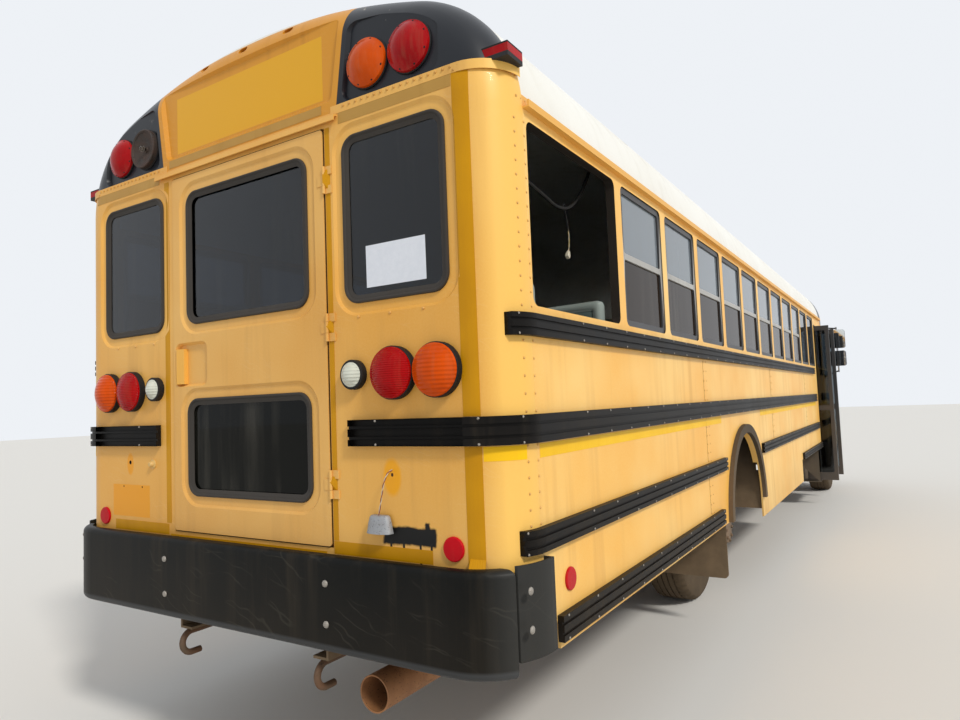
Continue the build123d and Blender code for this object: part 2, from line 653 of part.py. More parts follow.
windshield = [
    windshield_pane(PANE_IN_Y, PANE_OUT_Y, SEAT_GAP, 8, 14),
    windshield_pane(-PANE_OUT_Y, -PANE_IN_Y, SEAT_GAP, 8, 14),
]
quarter_width = QUARTER_X[1] - QUARTER_X[0]
quarter = rounded(
    sum(QUARTER_X) / 2, QUARTER_Z, quarter_width - 2 * SEAT_GAP, QUARTER_HEIGHT - 2 * SEAT_GAP, 39
)
windshield += both_sides(prism_y(quarter, HALF_WIDTH - 20, HALF_WIDTH - 15))
save("windshield", *windshield)

# Rub rails: low z, high z, first x, last x, and how far round the rear they reach (a y, or None)
RAIL_OUT = 24.0
RAIL_GROOVE = 7.0
RAIL_JOINT_X = 60.0
RUB_RAILS = (
    (1715.0, 1789.0, 30.0, 7850.0, None),
    (1368.0, 1460.0, -50.0, RAIL_JOINT_X, 570.0),
    (1368.0, 1460.0, RAIL_JOINT_X + SEAT_GAP, 7900.0, None),
    (1019.0, 1096.0, 55.0, 2740.0, None),
    (1019.0, 1096.0, 4040.0, 8000.0, None),
    (703.0, 789.0, 262.0, 2600.0, None),
    (764.0, 828.0, 6380.0, 8180.0, None),
)


def rub_rail(low_z, high_z, x0, x1, wrap_y, side):
    rail = plan_band(SEAT_GAP, RAIL_OUT, low_z, high_z)
    height = high_z - low_z
    for share in (0.3, 0.7):
        groove_z = low_z + share * height
        rail -= plan_band(RAIL_OUT - RAIL_GROOVE, RAIL_OUT + 1, groove_z - 5, groove_z + 5)
    near, far = sorted((side * (wrap_y or HALF_WIDTH - 145), side * (HALF_WIDTH + 60)))
    return rail & block(x0, x1, near, far, low_z - 1, high_z + 1)


rails = [rub_rail(*row, side) for side in (-1, 1) for row in RUB_RAILS]
save("rub_rails", *rails)

# Rear bumper: a rolled channel that wraps the corners, with a separate end piece on each side
BUMPER_SEAM = 6.0
BUMPER_ROLL = 24.0
BUMPER_FAR_X = 400.0
END_PIECE_X = 190.0
END_PIECE_Z = (711.0, 1000.0)


def bumper_plan(inset):
    return plan_outline(-BUMPER_OUT + inset, BUMPER_FAR_X, BUMPER_HALF - inset, BUMPER_R - inset)


def rolled(inset, z0, z1, radius):
    """The bumper's form at one depth in, with its upper and lower edges rolled."""
    form = prism_z(bumper_plan(inset), z0, z1)
    rim = [
        edge for edge in form.edges()
        if min(edge.center().Z - z0, z1 - edge.center().Z) < 1 and edge.center().X < BUMPER_FAR_X - 1
    ]
    return fillet(rim, radius)


rear_bumper = rolled(0, BUMPER_LOW_Z, BUMPER_HIGH_Z, BUMPER_ROLL)
rear_bumper -= rolled(
    BUMPER_SHEET, BUMPER_LOW_Z + BUMPER_SHEET, BUMPER_HIGH_Z - BUMPER_SHEET, BUMPER_ROLL - BUMPER_SHEET
)
rear_bumper -= prism_z(bumper_plan(BUMPER_LIP), 0, BUMPER_HIGH_Z + 10)
rear_bumper &= block(-BUMPER_OUT - 1, BUMPER_END_X, -BUMPER_HALF - 1, BUMPER_HALF + 1, 0, BUMPER_HIGH_Z + 1)
end_ring = prism_z(bumper_plan(0) - bumper_plan(BUMPER_SHEET), *END_PIECE_Z)
end_piece = end_ring & block(
    BUMPER_END_X + BUMPER_SEAM, END_PIECE_X, HALF_WIDTH - 200, BUMPER_HALF + 1, *END_PIECE_Z
)
end_piece += block(
    END_PIECE_X - BUMPER_SHEET, END_PIECE_X, HALF_WIDTH + SEAT_GAP, BUMPER_HALF - 1, *END_PIECE_Z
)
bumper_brackets = [
    block(-BUMPER_OUT + BUMPER_SHEET + SEAT_GAP, -5 - SEAT_GAP, side * 394 - 30, side * 394 + 30, 690, 850)
    for side in (-1, 1)
]
save("rear_bumper", rear_bumper, *bumper_brackets, *both_sides(end_piece))

front_bumper = block(
    FRONT_BUMPER_BACK_X, FRONT_BUMPER_FACE_X, -FRONT_BUMPER_HALF, FRONT_BUMPER_HALF,
    FRONT_BUMPER_LOW_Z, FRONT_BUMPER_HIGH_Z,
)
front_bumper = fillet(
    [edge for edge in front_bumper.edges().filter_by(Axis.Z) if edge.center().X > FRONT_BUMPER_BACK_X + 1], 90
)
front_bumper = fillet(
    [edge for edge in front_bumper.edges()
     if abs(edge.center().Z - 644) > 100 and edge.center().X > FRONT_BUMPER_BACK_X + 1], 18
)
front_bumper -= block(
    FRONT_BUMPER_BACK_X - 1, FRONT_BUMPER_FACE_X - 95, -FRONT_BUMPER_HALF + 30, FRONT_BUMPER_HALF - 30,
    FRONT_BUMPER_LOW_Z + 12, FRONT_BUMPER_HIGH_Z - 12,
)
save("front_bumper", front_bumper)

# Driveline sizes that the frame makes room for: first x, height and radius of the gearbox
GEARBOX = (8900.0, 760.0, 150.0)
PINION_NOSE = 320.0
SHAFT_R = 48.0
YOKE_R = 62.0
YOKE = 70.0
SHAFT_START = (REAR_AXLE_X + PINION_NOSE + SEAT_GAP + YOKE / 2, 0, WHEEL_R)
SHAFT_END = (GEARBOX[0] - SEAT_GAP - YOKE / 2, 0, GEARBOX[1])
FRAME_HOLE = 18.0
# Muffler: first x, last x, y, z, radius
MUFFLER = (4750.0, 5900.0, -215.0, 655.0, 118.0)
DOWN_PIPE_R = 52.0
DOWN_PIPE_X = 8600.0

# Ladder frame: two channel rails, tapered ahead of the engine, and crossmembers
RAIL_REAR_X = -5.0
RAIL_FRONT_X = FRONT_BUMPER_BACK_X - SEAT_GAP
CROSSMEMBER = 80.0
# Crossmembers: centre x, top z
CROSSMEMBERS = (
    (120.0, RAIL_TOP - RAIL_WEB), (1550.0, RAIL_TOP - RAIL_WEB), (2650.0, RAIL_TOP - RAIL_WEB),
    (4250.0, RAIL_TOP - RAIL_WEB), (5300.0, RAIL_TOP - RAIL_WEB), (6600.0, RAIL_TOP - RAIL_WEB),
    (7900.0, RAIL_TOP - RAIL_WEB), (8700.0, RAIL_TOP - RAIL_WEB), (10600.0, FRONT_RAIL_TOP - RAIL_WEB),
)
# Pivot of the nose: x and z, boss radius, pin radius, frame lug and hood lug (y from, y to)
HOOD_PIVOT = (10690.0, 790.0)
HOOD_BOSS_R = 20.0
HOOD_PIN_R = 8.0
FRAME_LUG_Y = (384.0, 404.0)
HOOD_LUG_Y = (410.0, 422.0)
rail_side = polygon(
    (RAIL_REAR_X, RAIL_LOW), (RAIL_FRONT_X, RAIL_LOW), (RAIL_FRONT_X, FRONT_RAIL_TOP),
    (RAIL_TAPER_X, FRONT_RAIL_TOP), (RAIL_TAPER_X - 200, RAIL_TOP), (RAIL_REAR_X, RAIL_TOP),
)
rail_inside = polygon(
    (RAIL_REAR_X - 1, RAIL_LOW + RAIL_WEB), (RAIL_FRONT_X + 1, RAIL_LOW + RAIL_WEB),
    (RAIL_FRONT_X + 1, FRONT_RAIL_TOP - RAIL_WEB), (RAIL_TAPER_X, FRONT_RAIL_TOP - RAIL_WEB),
    (RAIL_TAPER_X - 200, RAIL_TOP - RAIL_WEB), (RAIL_REAR_X - 1, RAIL_TOP - RAIL_WEB),
)
frame_rail = prism_y(rail_side, RAIL_FACE_Y - RAIL_FLANGE, RAIL_FACE_Y)
frame_rail -= prism_y(rail_inside, RAIL_FACE_Y - RAIL_FLANGE - 1, RAIL_FACE_Y - RAIL_WEB)
chassis = frame_rail + mirror(frame_rail, about=Plane.XZ)
reach = RAIL_FACE_Y - RAIL_WEB + 1
half = CROSSMEMBER / 2
for cross_x, top_z in CROSSMEMBERS:
    chassis += block(cross_x - half, cross_x + half, -reach, reach, top_z - CROSSMEMBER, top_z + 1)
muffler_rear = (MUFFLER[0], MUFFLER[2], MUFFLER[3])
muffler_front = (MUFFLER[1], MUFFLER[2], MUFFLER[3])
chassis -= rod(SHAFT_START, SHAFT_END, SHAFT_R + FRAME_HOLE)
chassis -= rod(muffler_rear, muffler_front, MUFFLER[4] + FRAME_HOLE)
for side in (-1, 1):
    near, far = sorted((side * FRAME_LUG_Y[0], side * FRAME_LUG_Y[1]))
    chassis += block(
        HOOD_PIVOT[0] - HOOD_BOSS_R, HOOD_PIVOT[0] + HOOD_BOSS_R, near, far, FRONT_RAIL_TOP - 1, HOOD_PIVOT[1]
    )
    start = (HOOD_PIVOT[0], side * FRAME_LUG_Y[0], HOOD_PIVOT[1])
    chassis += rod(start, (start[0], side * FRAME_LUG_Y[1], start[2]), HOOD_BOSS_R)
    chassis += rod(start, (start[0], side * (HOOD_LUG_Y[1] + 6), start[2]), HOOD_PIN_R)
save("chassis_frame", chassis)

# Floor with its cross sills
side_y = INNER_Y - SEAT_GAP
core_y = INNER_Y - CORNER_R
floor = block(REAR_SHELL_LENGTH, COWL_X - FRONT_CORNER_R, -side_y, side_y, FLOOR_LOW, FLOOR_TOP)
floor += block(WALL + SEAT_GAP, COWL_X - WALL - SEAT_GAP, -core_y, core_y, FLOOR_LOW, FLOOR_TOP)
WELL_X = (REAR_AXLE_X - ARCH_HALF - 24, REAR_AXLE_X + ARCH_HALF + 24)
WELL_IN_Y = 700.0
for side in (-1, 1):
    y0, y1 = sorted((side * WHEELHOUSE_INNER_Y, side * (INNER_Y + 1)))
    floor -= block(WELL_X[0], WELL_X[1], y0, y1, FLOOR_LOW - 1, FLOOR_TOP + 1)
floor -= block(
    DOORWAY_REAR_X - 17, DOORWAY_FRONT_X + 17, -INNER_Y - 1, -WELL_IN_Y, FLOOR_LOW - 1, FLOOR_TOP + 1
)
sill_x = REAR_SHELL_LENGTH + 60
while sill_x < DOORWAY_REAR_X:
    over_wheel = WELL_X[0] - SILL_WIDTH < sill_x < WELL_X[1] + SILL_WIDTH
    reach = WHEELHOUSE_INNER_Y - 20 if over_wheel else INNER_Y - 30
    near = sill_x - SILL_WIDTH / 2
    floor += block(near, near + SILL_WIDTH, -reach, reach, RAIL_TOP + SEAT_GAP, FLOOR_LOW)
    sill_x += POST_PITCH
save("floor", floor)

wheelhouses = []
for side in (-1, 1):
    y0, y1 = sorted((side * (WHEELHOUSE_INNER_Y + SEAT_GAP), side * (INNER_Y - SEAT_GAP)))
    x0 = WELL_X[0] + SEAT_GAP
    x1 = WELL_X[1] - SEAT_GAP
    house = block(x0, x1, y0, y1, 880, WHEELHOUSE_TOP_Z)
    i0, i1 = sorted((side * (WHEELHOUSE_INNER_Y + WHEELHOUSE_SHEET), side * (INNER_Y + 1)))
    sheet = WHEELHOUSE_SHEET
    house -= block(x0 + sheet, x1 - sheet, i0, i1, 0, WHEELHOUSE_TOP_Z - sheet)
    skirt_y = HALF_WIDTH - SKIRT_SHEET - 1
    apron_y0, apron_y1 = sorted((side * (WHEELHOUSE_INNER_Y + SEAT_GAP), side * skirt_y))
    house += block(x1 - WHEELHOUSE_SHEET, x1, apron_y0, apron_y1, 590, 890)
    house -= block(x0 - 1, x1 + 1, apron_y0 - 1, apron_y1 + 1, 0, 589)
    wheelhouses.append(house)
save("wheelhouses", *wheelhouses)

# Rubber trim round the rear arches and the mud flaps behind the rear wheels
ARCH_FOOT_Z = 600.0


def arch_shape(grow):
    centre_z = ARCH_TOP_Z - ARCH_HALF
    half = ARCH_HALF + grow
    x0 = REAR_AXLE_X - half
    x1 = REAR_AXLE_X + half
    outline = Polyline((x0, centre_z), (x0, ARCH_FOOT_Z), (x1, ARCH_FOOT_Z), (x1, centre_z))
    outline += ThreePointArc((x1, centre_z), (REAR_AXLE_X, ARCH_TOP_Z + grow), (x0, centre_z))
    return make_face(outline)


trim_y = HALF_WIDTH + SEAT_GAP
arch_trim = prism_y(arch_shape(ARCH_TRIM), trim_y, trim_y + ARCH_TRIM_OUT)
arch_trim -= prism_y(arch_shape(2), trim_y - 1, trim_y + ARCH_TRIM_OUT + 1)
trim_reach = ARCH_HALF + ARCH_TRIM + 1
arch_trim -= block(
    REAR_AXLE_X - trim_reach, REAR_AXLE_X + trim_reach, trim_y - 1, trim_y + ARCH_TRIM_OUT + 1,
    ARCH_FOOT_Z - 1, REAR_SKIRT_Z + 3,
)
FLAP_X = 2752.0
flap = block(FLAP_X, FLAP_X + 10, 585, 1200, 325, 850)
flap = fillet(flap.edges().filter_by(Axis.X).group_by(Axis.Z)[0], 30)
flap_bar = block(FLAP_X, FLAP_X + 30, RAIL_FACE_Y + SEAT_GAP, 1190, 790, 830)
save("arch_rubber", *both_sides(arch_trim), *both_sides(flap + flap_bar))

# Wheels


def ring_profile(points):
    """Revolve an outline given as (radius, outward distance) about the wheel's axle."""
    return revolve(polygon(*points), axis=Axis.Y)


def tyre(side, centre_y, x):
    half = TYRE_WIDTH / 2
    bead = RIM_R + SEAT_GAP
    rise = WHEEL_R - RIM_R
    right = (
        (bead, RIM_HALF - RIM_SHEET - SEAT_GAP), (RIM_FLANGE_R + SEAT_GAP, RIM_HALF - RIM_SHEET - SEAT_GAP),
        (RIM_FLANGE_R + 24, half - 8),
        (RIM_R + 0.52 * rise, half), (WHEEL_R - 45, half - 4), (WHEEL_R - 12, half - 22),
        (WHEEL_R, half - 44),
    )
    left = tuple((radius, -out) for radius, out in reversed(right))
    return Pos(x, side * centre_y, WHEEL_R) * ring_profile(right + left)


def rim(side, centre_y, x, bulge):
    """Steel disc wheel: a barrel with two flanges and a dished disc that bulges out (+1) or in (-1)."""
    inner = RIM_R - RIM_SHEET
    barrel = ring_profile((
        (inner, -RIM_HALF), (inner, RIM_HALF), (RIM_FLANGE_R, RIM_HALF),
        (RIM_FLANGE_R, RIM_HALF - RIM_SHEET), (RIM_R, RIM_HALF - RIM_SHEET),
        (RIM_R, -RIM_HALF + RIM_SHEET), (RIM_FLANGE_R, -RIM_HALF + RIM_SHEET),
        (RIM_FLANGE_R, -RIM_HALF),
    ))
    face = DISC_OFFSET
    back = face - DISC_THICKNESS
    hole = HUB_R + 0.5
    disc = ring_profile((
        (hole, back), (hole, face), (185, face), (222, face - 34), (inner + 1, 62),
        (inner + 1, 62 - DISC_THICKNESS - 4), (214, back - 34), (178, back),
    ))
    for index in range(STUD_COUNT):
        turn = 360 / STUD_COUNT * (index + 0.5)
        hand_hole = rod((228, 0, 0), (228, face + 10, 0), 24)
        disc -= Rot(0, turn, 0) * hand_hole
    wheel = barrel + disc
    if bulge * side < 0:
        wheel = mirror(wheel, about=Plane.XZ)
    return Pos(x, side * centre_y, WHEEL_R) * wheel


def stud_ring(x, side, y0, y1, nut_y):
    """Bare wheel studs in a ring, or closed nuts over them where nut_y is given; the left ring is half a step round."""
    studs = []
    for index in range(STUD_COUNT):
        turn = radians(360 / STUD_COUNT * (index + (0.5 if side > 0 else 0.0)))
        sx = x + STUD_CIRCLE / 2 * cos(turn)
        sz = WHEEL_R + STUD_CIRCLE / 2 * sin(turn)
        if nut_y is None:
            studs.append(rod((sx, side * y0, sz), (sx, side * y1, sz), STUD_R))
            continue
        seat = Plane(origin=(sx, side * nut_y, sz), z_dir=(0, side, 0))
        studs.append(extrude(seat * RegularPolygon(NUT_R, 6), NUT_LENGTH))
        studs.append(extrude(seat.offset(NUT_LENGTH) * RegularPolygon(NUT_R, 6), NUT_CROWN, taper=NUT_CROWN_TAPER))
    return studs


def joined(pieces):
    whole = pieces[0]
    for piece in pieces[1:]:
        whole += piece
    return whole


SPINDLE_R = 45.0
SPINDLE_RUNNING = 0.3
HUB_BACK_Y = 690.0
HUB_END_Y = 1071.0
HUB_FLANGE_R = 168.0
DRUM_R = 228.0


def rear_hub(side, studs_end, nut_y):
    """Drum, hub barrel and axle flange of one rear wheel end."""
    mount = REAR_MOUNT_Y - DISC_THICKNESS

    def on_axle(y0, y1, radius):
        return rod((REAR_AXLE_X, side * y0, WHEEL_R), (REAR_AXLE_X, side * y1, WHEEL_R), radius)

    barrel = on_axle(HUB_BACK_Y, HUB_END_Y - 24, HUB_R)
    flange = on_axle(mount - 22, mount, HUB_FLANGE_R)
    drum = on_axle(640, mount - 22, DRUM_R) - on_axle(639, mount - 40, DRUM_R - 22)
    cap = on_axle(HUB_END_Y - 24, HUB_END_Y, 101)
    hub = joined([drum, barrel, flange, cap] + stud_ring(REAR_AXLE_X, side, mount - 22, studs_end, nut_y))
    for index in range(8):
        turn = radians(45 * index)
        bx = REAR_AXLE_X + 82 * cos(turn)
        bz = WHEEL_R + 82 * sin(turn)
        hub += rod((bx, side * (HUB_END_Y - 2), bz), (bx, side * (HUB_END_Y + 12), bz), 11)
    return hub - on_axle(HUB_BACK_Y - 1, mount - 25, SPINDLE_R + SPINDLE_RUNNING)


inner_y = REAR_MOUNT_Y - DISC_OFFSET
outer_y = REAR_MOUNT_Y + DISC_OFFSET
save("rear_tyre_right", tyre(-1, inner_y, REAR_AXLE_X))
save("rear_tyres_left", tyre(1, inner_y, REAR_AXLE_X), tyre(1, outer_y, REAR_AXLE_X))
save("rear_wheel_right", rim(-1, inner_y, REAR_AXLE_X, 1) + rear_hub(-1, REAR_MOUNT_Y + 62, None))
left_rear = rim(1, inner_y, REAR_AXLE_X, 1) + rim(1, outer_y, REAR_AXLE_X, -1)
left_rear += rear_hub(1, REAR_MOUNT_Y + 62, REAR_MOUNT_Y + DISC_THICKNESS - 1)
save("rear_wheels_left", left_rear)

FRONT_HUB_BACK = 960.0
FRONT_SPINDLE_R = 38.0
FRONT_SPINDLE_END = 1120.0


def front_wheel(side):
    wheel = rim(side, FRONT_WHEEL_Y, FRONT_AXLE_X, 1)
    face = FRONT_WHEEL_Y + DISC_OFFSET
    mount = face - DISC_THICKNESS

    def on_axle(y0, y1, radius):
        return rod((FRONT_AXLE_X, side * y0, WHEEL_R), (FRONT_AXLE_X, side * y1, WHEEL_R), radius)

    hub = on_axle(FRONT_HUB_BACK, face + 34, HUB_R - 18)
    hub += on_axle(mount - 24, mount, HUB_FLANGE_R)
    hub += on_axle(mount - 30, face + 12, HUB_R)
    hub = joined([hub] + stud_ring(FRONT_AXLE_X, side, mount - 24, face + 34, face - 1))
    hub -= on_axle(FRONT_HUB_BACK - 1, FRONT_SPINDLE_END + SEAT_GAP, FRONT_SPINDLE_R + SPINDLE_RUNNING)
    return wheel + hub


for side, word in ((-1, "right"), (1, "left")):
    save(f"front_tyre_{word}", tyre(side, FRONT_WHEEL_Y, FRONT_AXLE_X))
    save(f"front_wheel_{word}", front_wheel(side))

# Axles
AXLE_TUBE_R = 72.0
BANJO_R = 205.0
rear_axle = rod((REAR_AXLE_X, -630, WHEEL_R), (REAR_AXLE_X, 630, WHEEL_R), AXLE_TUBE_R)
for side in (-1, 1):
    rear_axle += rod((REAR_AXLE_X, side * 625, WHEEL_R), (REAR_AXLE_X, side * 845, WHEEL_R), SPINDLE_R)
    rear_axle += rod((REAR_AXLE_X, side * 616, WHEEL_R), (REAR_AXLE_X, side * 628, WHEEL_R), DRUM_R - 30)
rear_axle += rod((REAR_AXLE_X - 70, 0, WHEEL_R), (REAR_AXLE_X + 110, 0, WHEEL_R), BANJO_R)
rear_axle += rod((REAR_AXLE_X + 100, 0, WHEEL_R), (REAR_AXLE_X + PINION_NOSE, 0, WHEEL_R), 85)

BOSS_R = 46.0
BOSS_LOW = WHEEL_R - 70
BOSS_HIGH = WHEEL_R + 70
PIN_R = 22.0
BEAM_LOW = 392.0
BEAM_HIGH = 482.0
BEAM_END_Y = 740.0
BEAM_HALF = 42.0
beam_half = [(BEAM_END_Y, BEAM_LOW), (KINGPIN_Y - BOSS_R - 8, BOSS_LOW + 12), (KINGPIN_Y - 20, BOSS_LOW + 12),
             (KINGPIN_Y - 20, BOSS_HIGH - 20), (BEAM_END_Y - 30, BEAM_HIGH)]
beam_outline = beam_half + [(-y, z) for y, z in reversed(beam_half)]
front_axle = prism_x(polygon(*beam_outline), FRONT_AXLE_X - BEAM_HALF, FRONT_AXLE_X + BEAM_HALF)
for side in (-1, 1):
    y = side * KINGPIN_Y
    front_axle += rod((FRONT_AXLE_X, y, BOSS_LOW), (FRONT_AXLE_X, y, BOSS_HIGH), BOSS_R)
for side in (-1, 1):
    y = side * KINGPIN_Y
    pin_hole = rod((FRONT_AXLE_X, y, BOSS_LOW - 1), (FRONT_AXLE_X, y, BOSS_HIGH + 1), PIN_R + SPINDLE_RUNNING)
    front_axle -= pin_hole
save("rear_axle", rear_axle)
save("front_axle", front_axle)

# Steering knuckles and tie rod
LUG = 36.0
LUG_GAP = 0.5
UPRIGHT_Y = (KINGPIN_Y + BOSS_R + 7, KINGPIN_Y + BOSS_R + 37)
ARM_X = FRONT_AXLE_X - 190
ARM_Y = KINGPIN_Y
ARM_Z = BOSS_LOW - LUG / 2 - LUG_GAP
BALL_R = 17.0


def knuckle(side):
    x = FRONT_AXLE_X
    piece = rod((x, KINGPIN_Y, BOSS_LOW - LUG_GAP - LUG), (x, KINGPIN_Y, BOSS_HIGH + LUG_GAP + LUG), PIN_R)
    for z0 in (BOSS_LOW - LUG_GAP - LUG, BOSS_HIGH + LUG_GAP):
        z1 = z0 + LUG
        piece += rod((x, KINGPIN_Y, z0), (x, KINGPIN_Y, z1), BOSS_R)
        piece += block(x - BOSS_R, x + BOSS_R, KINGPIN_Y, UPRIGHT_Y[1], z0, z1)
    piece += block(x - BOSS_R, x + BOSS_R, UPRIGHT_Y[0], UPRIGHT_Y[1], BOSS_LOW - 30, BOSS_HIGH + 30)
    piece += rod((x, UPRIGHT_Y[1] - 2, WHEEL_R), (x, UPRIGHT_Y[1] + 8, WHEEL_R), 190)
    piece += rod((x, UPRIGHT_Y[1], WHEEL_R), (x, FRONT_SPINDLE_END, WHEEL_R), FRONT_SPINDLE_R)
    piece += rod((x - 20, KINGPIN_Y + 10, ARM_Z), (ARM_X, ARM_Y, ARM_Z), 16)
    piece += rod((ARM_X, ARM_Y, ARM_Z - 22), (ARM_X, ARM_Y, ARM_Z + 18), 20)
    return side_of(piece, side)


save("knuckle_left", knuckle(1))
save("knuckle_right", knuckle(-1))
TIE_Z = ARM_Z - 22 - SEAT_GAP - BALL_R
tie_rod = rod((ARM_X, -ARM_Y, TIE_Z), (ARM_X, ARM_Y, TIE_Z), 15)
for side in (-1, 1):
    tie_rod += rod((ARM_X, side * ARM_Y, TIE_Z - BALL_R), (ARM_X, side * ARM_Y, TIE_Z + BALL_R), 24)
save("tie_rod", tie_rod)

# Leaf springs with their hangers: axle x, half length, spring low z at the axle, height of the ends
SPRING_IN_Y = RAIL_FACE_Y + SEAT_GAP
SPRING_OUT_Y = 520.0
SPRINGS = (
    (REAR_AXLE_X, 690.0, WHEEL_R + AXLE_TUBE_R + SEAT_GAP, 70.0, 62.0),
    (FRONT_AXLE_X, 500.0, BEAM_HIGH + SEAT_GAP, 95.0, 42.0),
)
springs = []
for axle_x, half, low, rise, thick in SPRINGS:
    outline = Polyline((axle_x - half, low + rise), (axle_x - half, low + rise + thick * 0.6))
    end_top = low + rise + thick * 0.6
    outline += ThreePointArc((axle_x - half, end_top), (axle_x, low + thick), (axle_x + half, end_top))
    outline += Polyline((axle_x + half, end_top), (axle_x + half, low + rise))
    outline += ThreePointArc((axle_x + half, low + rise), (axle_x, low), (axle_x - half, low + rise))
    spring = prism_y(make_face(outline), SPRING_IN_Y + 6, SPRING_OUT_Y)
    for end in (-1, 1):
        eye_x = axle_x + end * half
        spring += block(eye_x - 45, eye_x + 45, SPRING_IN_Y, SPRING_OUT_Y, low + rise - 30, RAIL_LOW + 150)
    springs += both_sides(spring)
save("leaf_springs", *springs)

# Driveline, engine, radiator, tank and exhaust
# Engine: rear x, front x, half width, low z, top z
ENGINE = (9450.0, 10320.0, 330.0, 640.0, 1230.0)
# Radiator: rear x, front x, half width, top z
RADIATOR = (10425.0, 10505.0, 400.0, 1210.0)
ENGINE_MOUNT = (9560.0, 9660.0)
engine = block(ENGINE[0], ENGINE[1], -ENGINE[2], ENGINE[2], ENGINE[3], ENGINE[4])
engine = fillet(engine.edges().filter_by(Axis.X), 40)
gearbox = rod((GEARBOX[0], 0, GEARBOX[1]), (ENGINE[0] + 1, 0, GEARBOX[1]), GEARBOX[2])
mount_y = RAIL_FACE_Y - RAIL_FLANGE - SEAT_GAP
engine_mounts = block(*ENGINE_MOUNT, -mount_y, mount_y, RAIL_TOP - 60, RAIL_TOP)
radiator = block(RADIATOR[0], RADIATOR[1], -RADIATOR[2], RADIATOR[2], FRONT_RAIL_TOP + SEAT_GAP, RADIATOR[3])
save("engine", engine + gearbox + engine_mounts, radiator)
drive_shaft = rod(SHAFT_START, SHAFT_END, SHAFT_R)
for near, step in ((SHAFT_START, -YOKE / 2), (SHAFT_END, YOKE / 2)):
    drive_shaft += rod(near, (near[0] + step, near[1], near[2]), YOKE_R)
save("drive_shaft", drive_shaft)
# Fuel tank: rear x, front x, low z, top z; it fills the space between the frame rails
TANK = (560.0, 1440.0, 520.0, 850.0)
tank = block(TANK[0], TANK[1], -mount_y, mount_y, TANK[2], TANK[3])
tank = fillet(tank.edges().filter_by(Axis.X), 50)
save("fuel_tank", tank)

HANGER_X = 420.0
HANGER_WIDTH = 40.0
SPOUT_LENGTH = 330.0
PIPE_R = 57.0
PIPE_SHEET = 5.0
SPOUT_BORE = 300.0
pipe_points = ((0, TAILPIPE_Y, TAILPIPE_Z), (1650, TAILPIPE_Y, TAILPIPE_Z), (2350, -235, TAILPIPE_Z),
               (2750, -230, 560), (3150, -225, 780), (3600, -220, 790), (4050, MUFFLER[2], MUFFLER[3]),
               (MUFFLER[0] + 20, MUFFLER[2], MUFFLER[3]))
pipe_path = FilletPolyline(*pipe_points, radius=(300, 300, 220, 260, 220, 260))
pipe_section = Plane(origin=pipe_points[0], z_dir=(1, 0, 0)) * Circle(PIPE_R)
tailpipe = sweep(pipe_section, path=pipe_path)
tailpipe += rod(pipe_points[0], (SPOUT_LENGTH, TAILPIPE_Y, TAILPIPE_Z), TAILPIPE_R)
muffler = rod(muffler_rear, muffler_front, MUFFLER[4])
down_pipe = rod(muffler_front, (DOWN_PIPE_X, MUFFLER[2], MUFFLER[3]), DOWN_PIPE_R)
exhaust = tailpipe + muffler + down_pipe
exhaust += block(
    HANGER_X, HANGER_X + HANGER_WIDTH, TAILPIPE_Y, -RAIL_FACE_Y - SEAT_GAP,
    TAILPIPE_Z + PIPE_R - 10, RAIL_LOW + HANGER_WIDTH,
)
exhaust += block(
    MUFFLER[0] + 150, MUFFLER[0] + 150 + HANGER_WIDTH, -mount_y, MUFFLER[2], RAIL_LOW, RAIL_LOW + RAIL_WEB
)
exhaust -= rod((-1, TAILPIPE_Y, TAILPIPE_Z), (SPOUT_BORE, TAILPIPE_Y, TAILPIPE_Z), TAILPIPE_R - PIPE_SHEET)
save("exhaust", exhaust)

# Tow hooks under the rear ends of the frame rails
HOOK_Y = 394.0
hook_curve = Polyline((150, RAIL_LOW - SEAT_GAP - 13), (20, RAIL_LOW - SEAT_GAP - 13))
hook_curve += ThreePointArc((20, RAIL_LOW - SEAT_GAP - 13), (-24, 543), (20, 499))
hook_curve += Line((20, 499), (60, 499))
hook_path = Plane.XZ * hook_curve
hook_section = Plane(origin=(150, 0, RAIL_LOW - SEAT_GAP - 13), z_dir=(-1, 0, 0)) * Circle(13)
hook = sweep(hook_section, path=hook_path.wire())
hooks = [Pos(0, side * HOOK_Y, 0) * hook for side in (-1, 1)]
save("tow_hooks", *hooks)

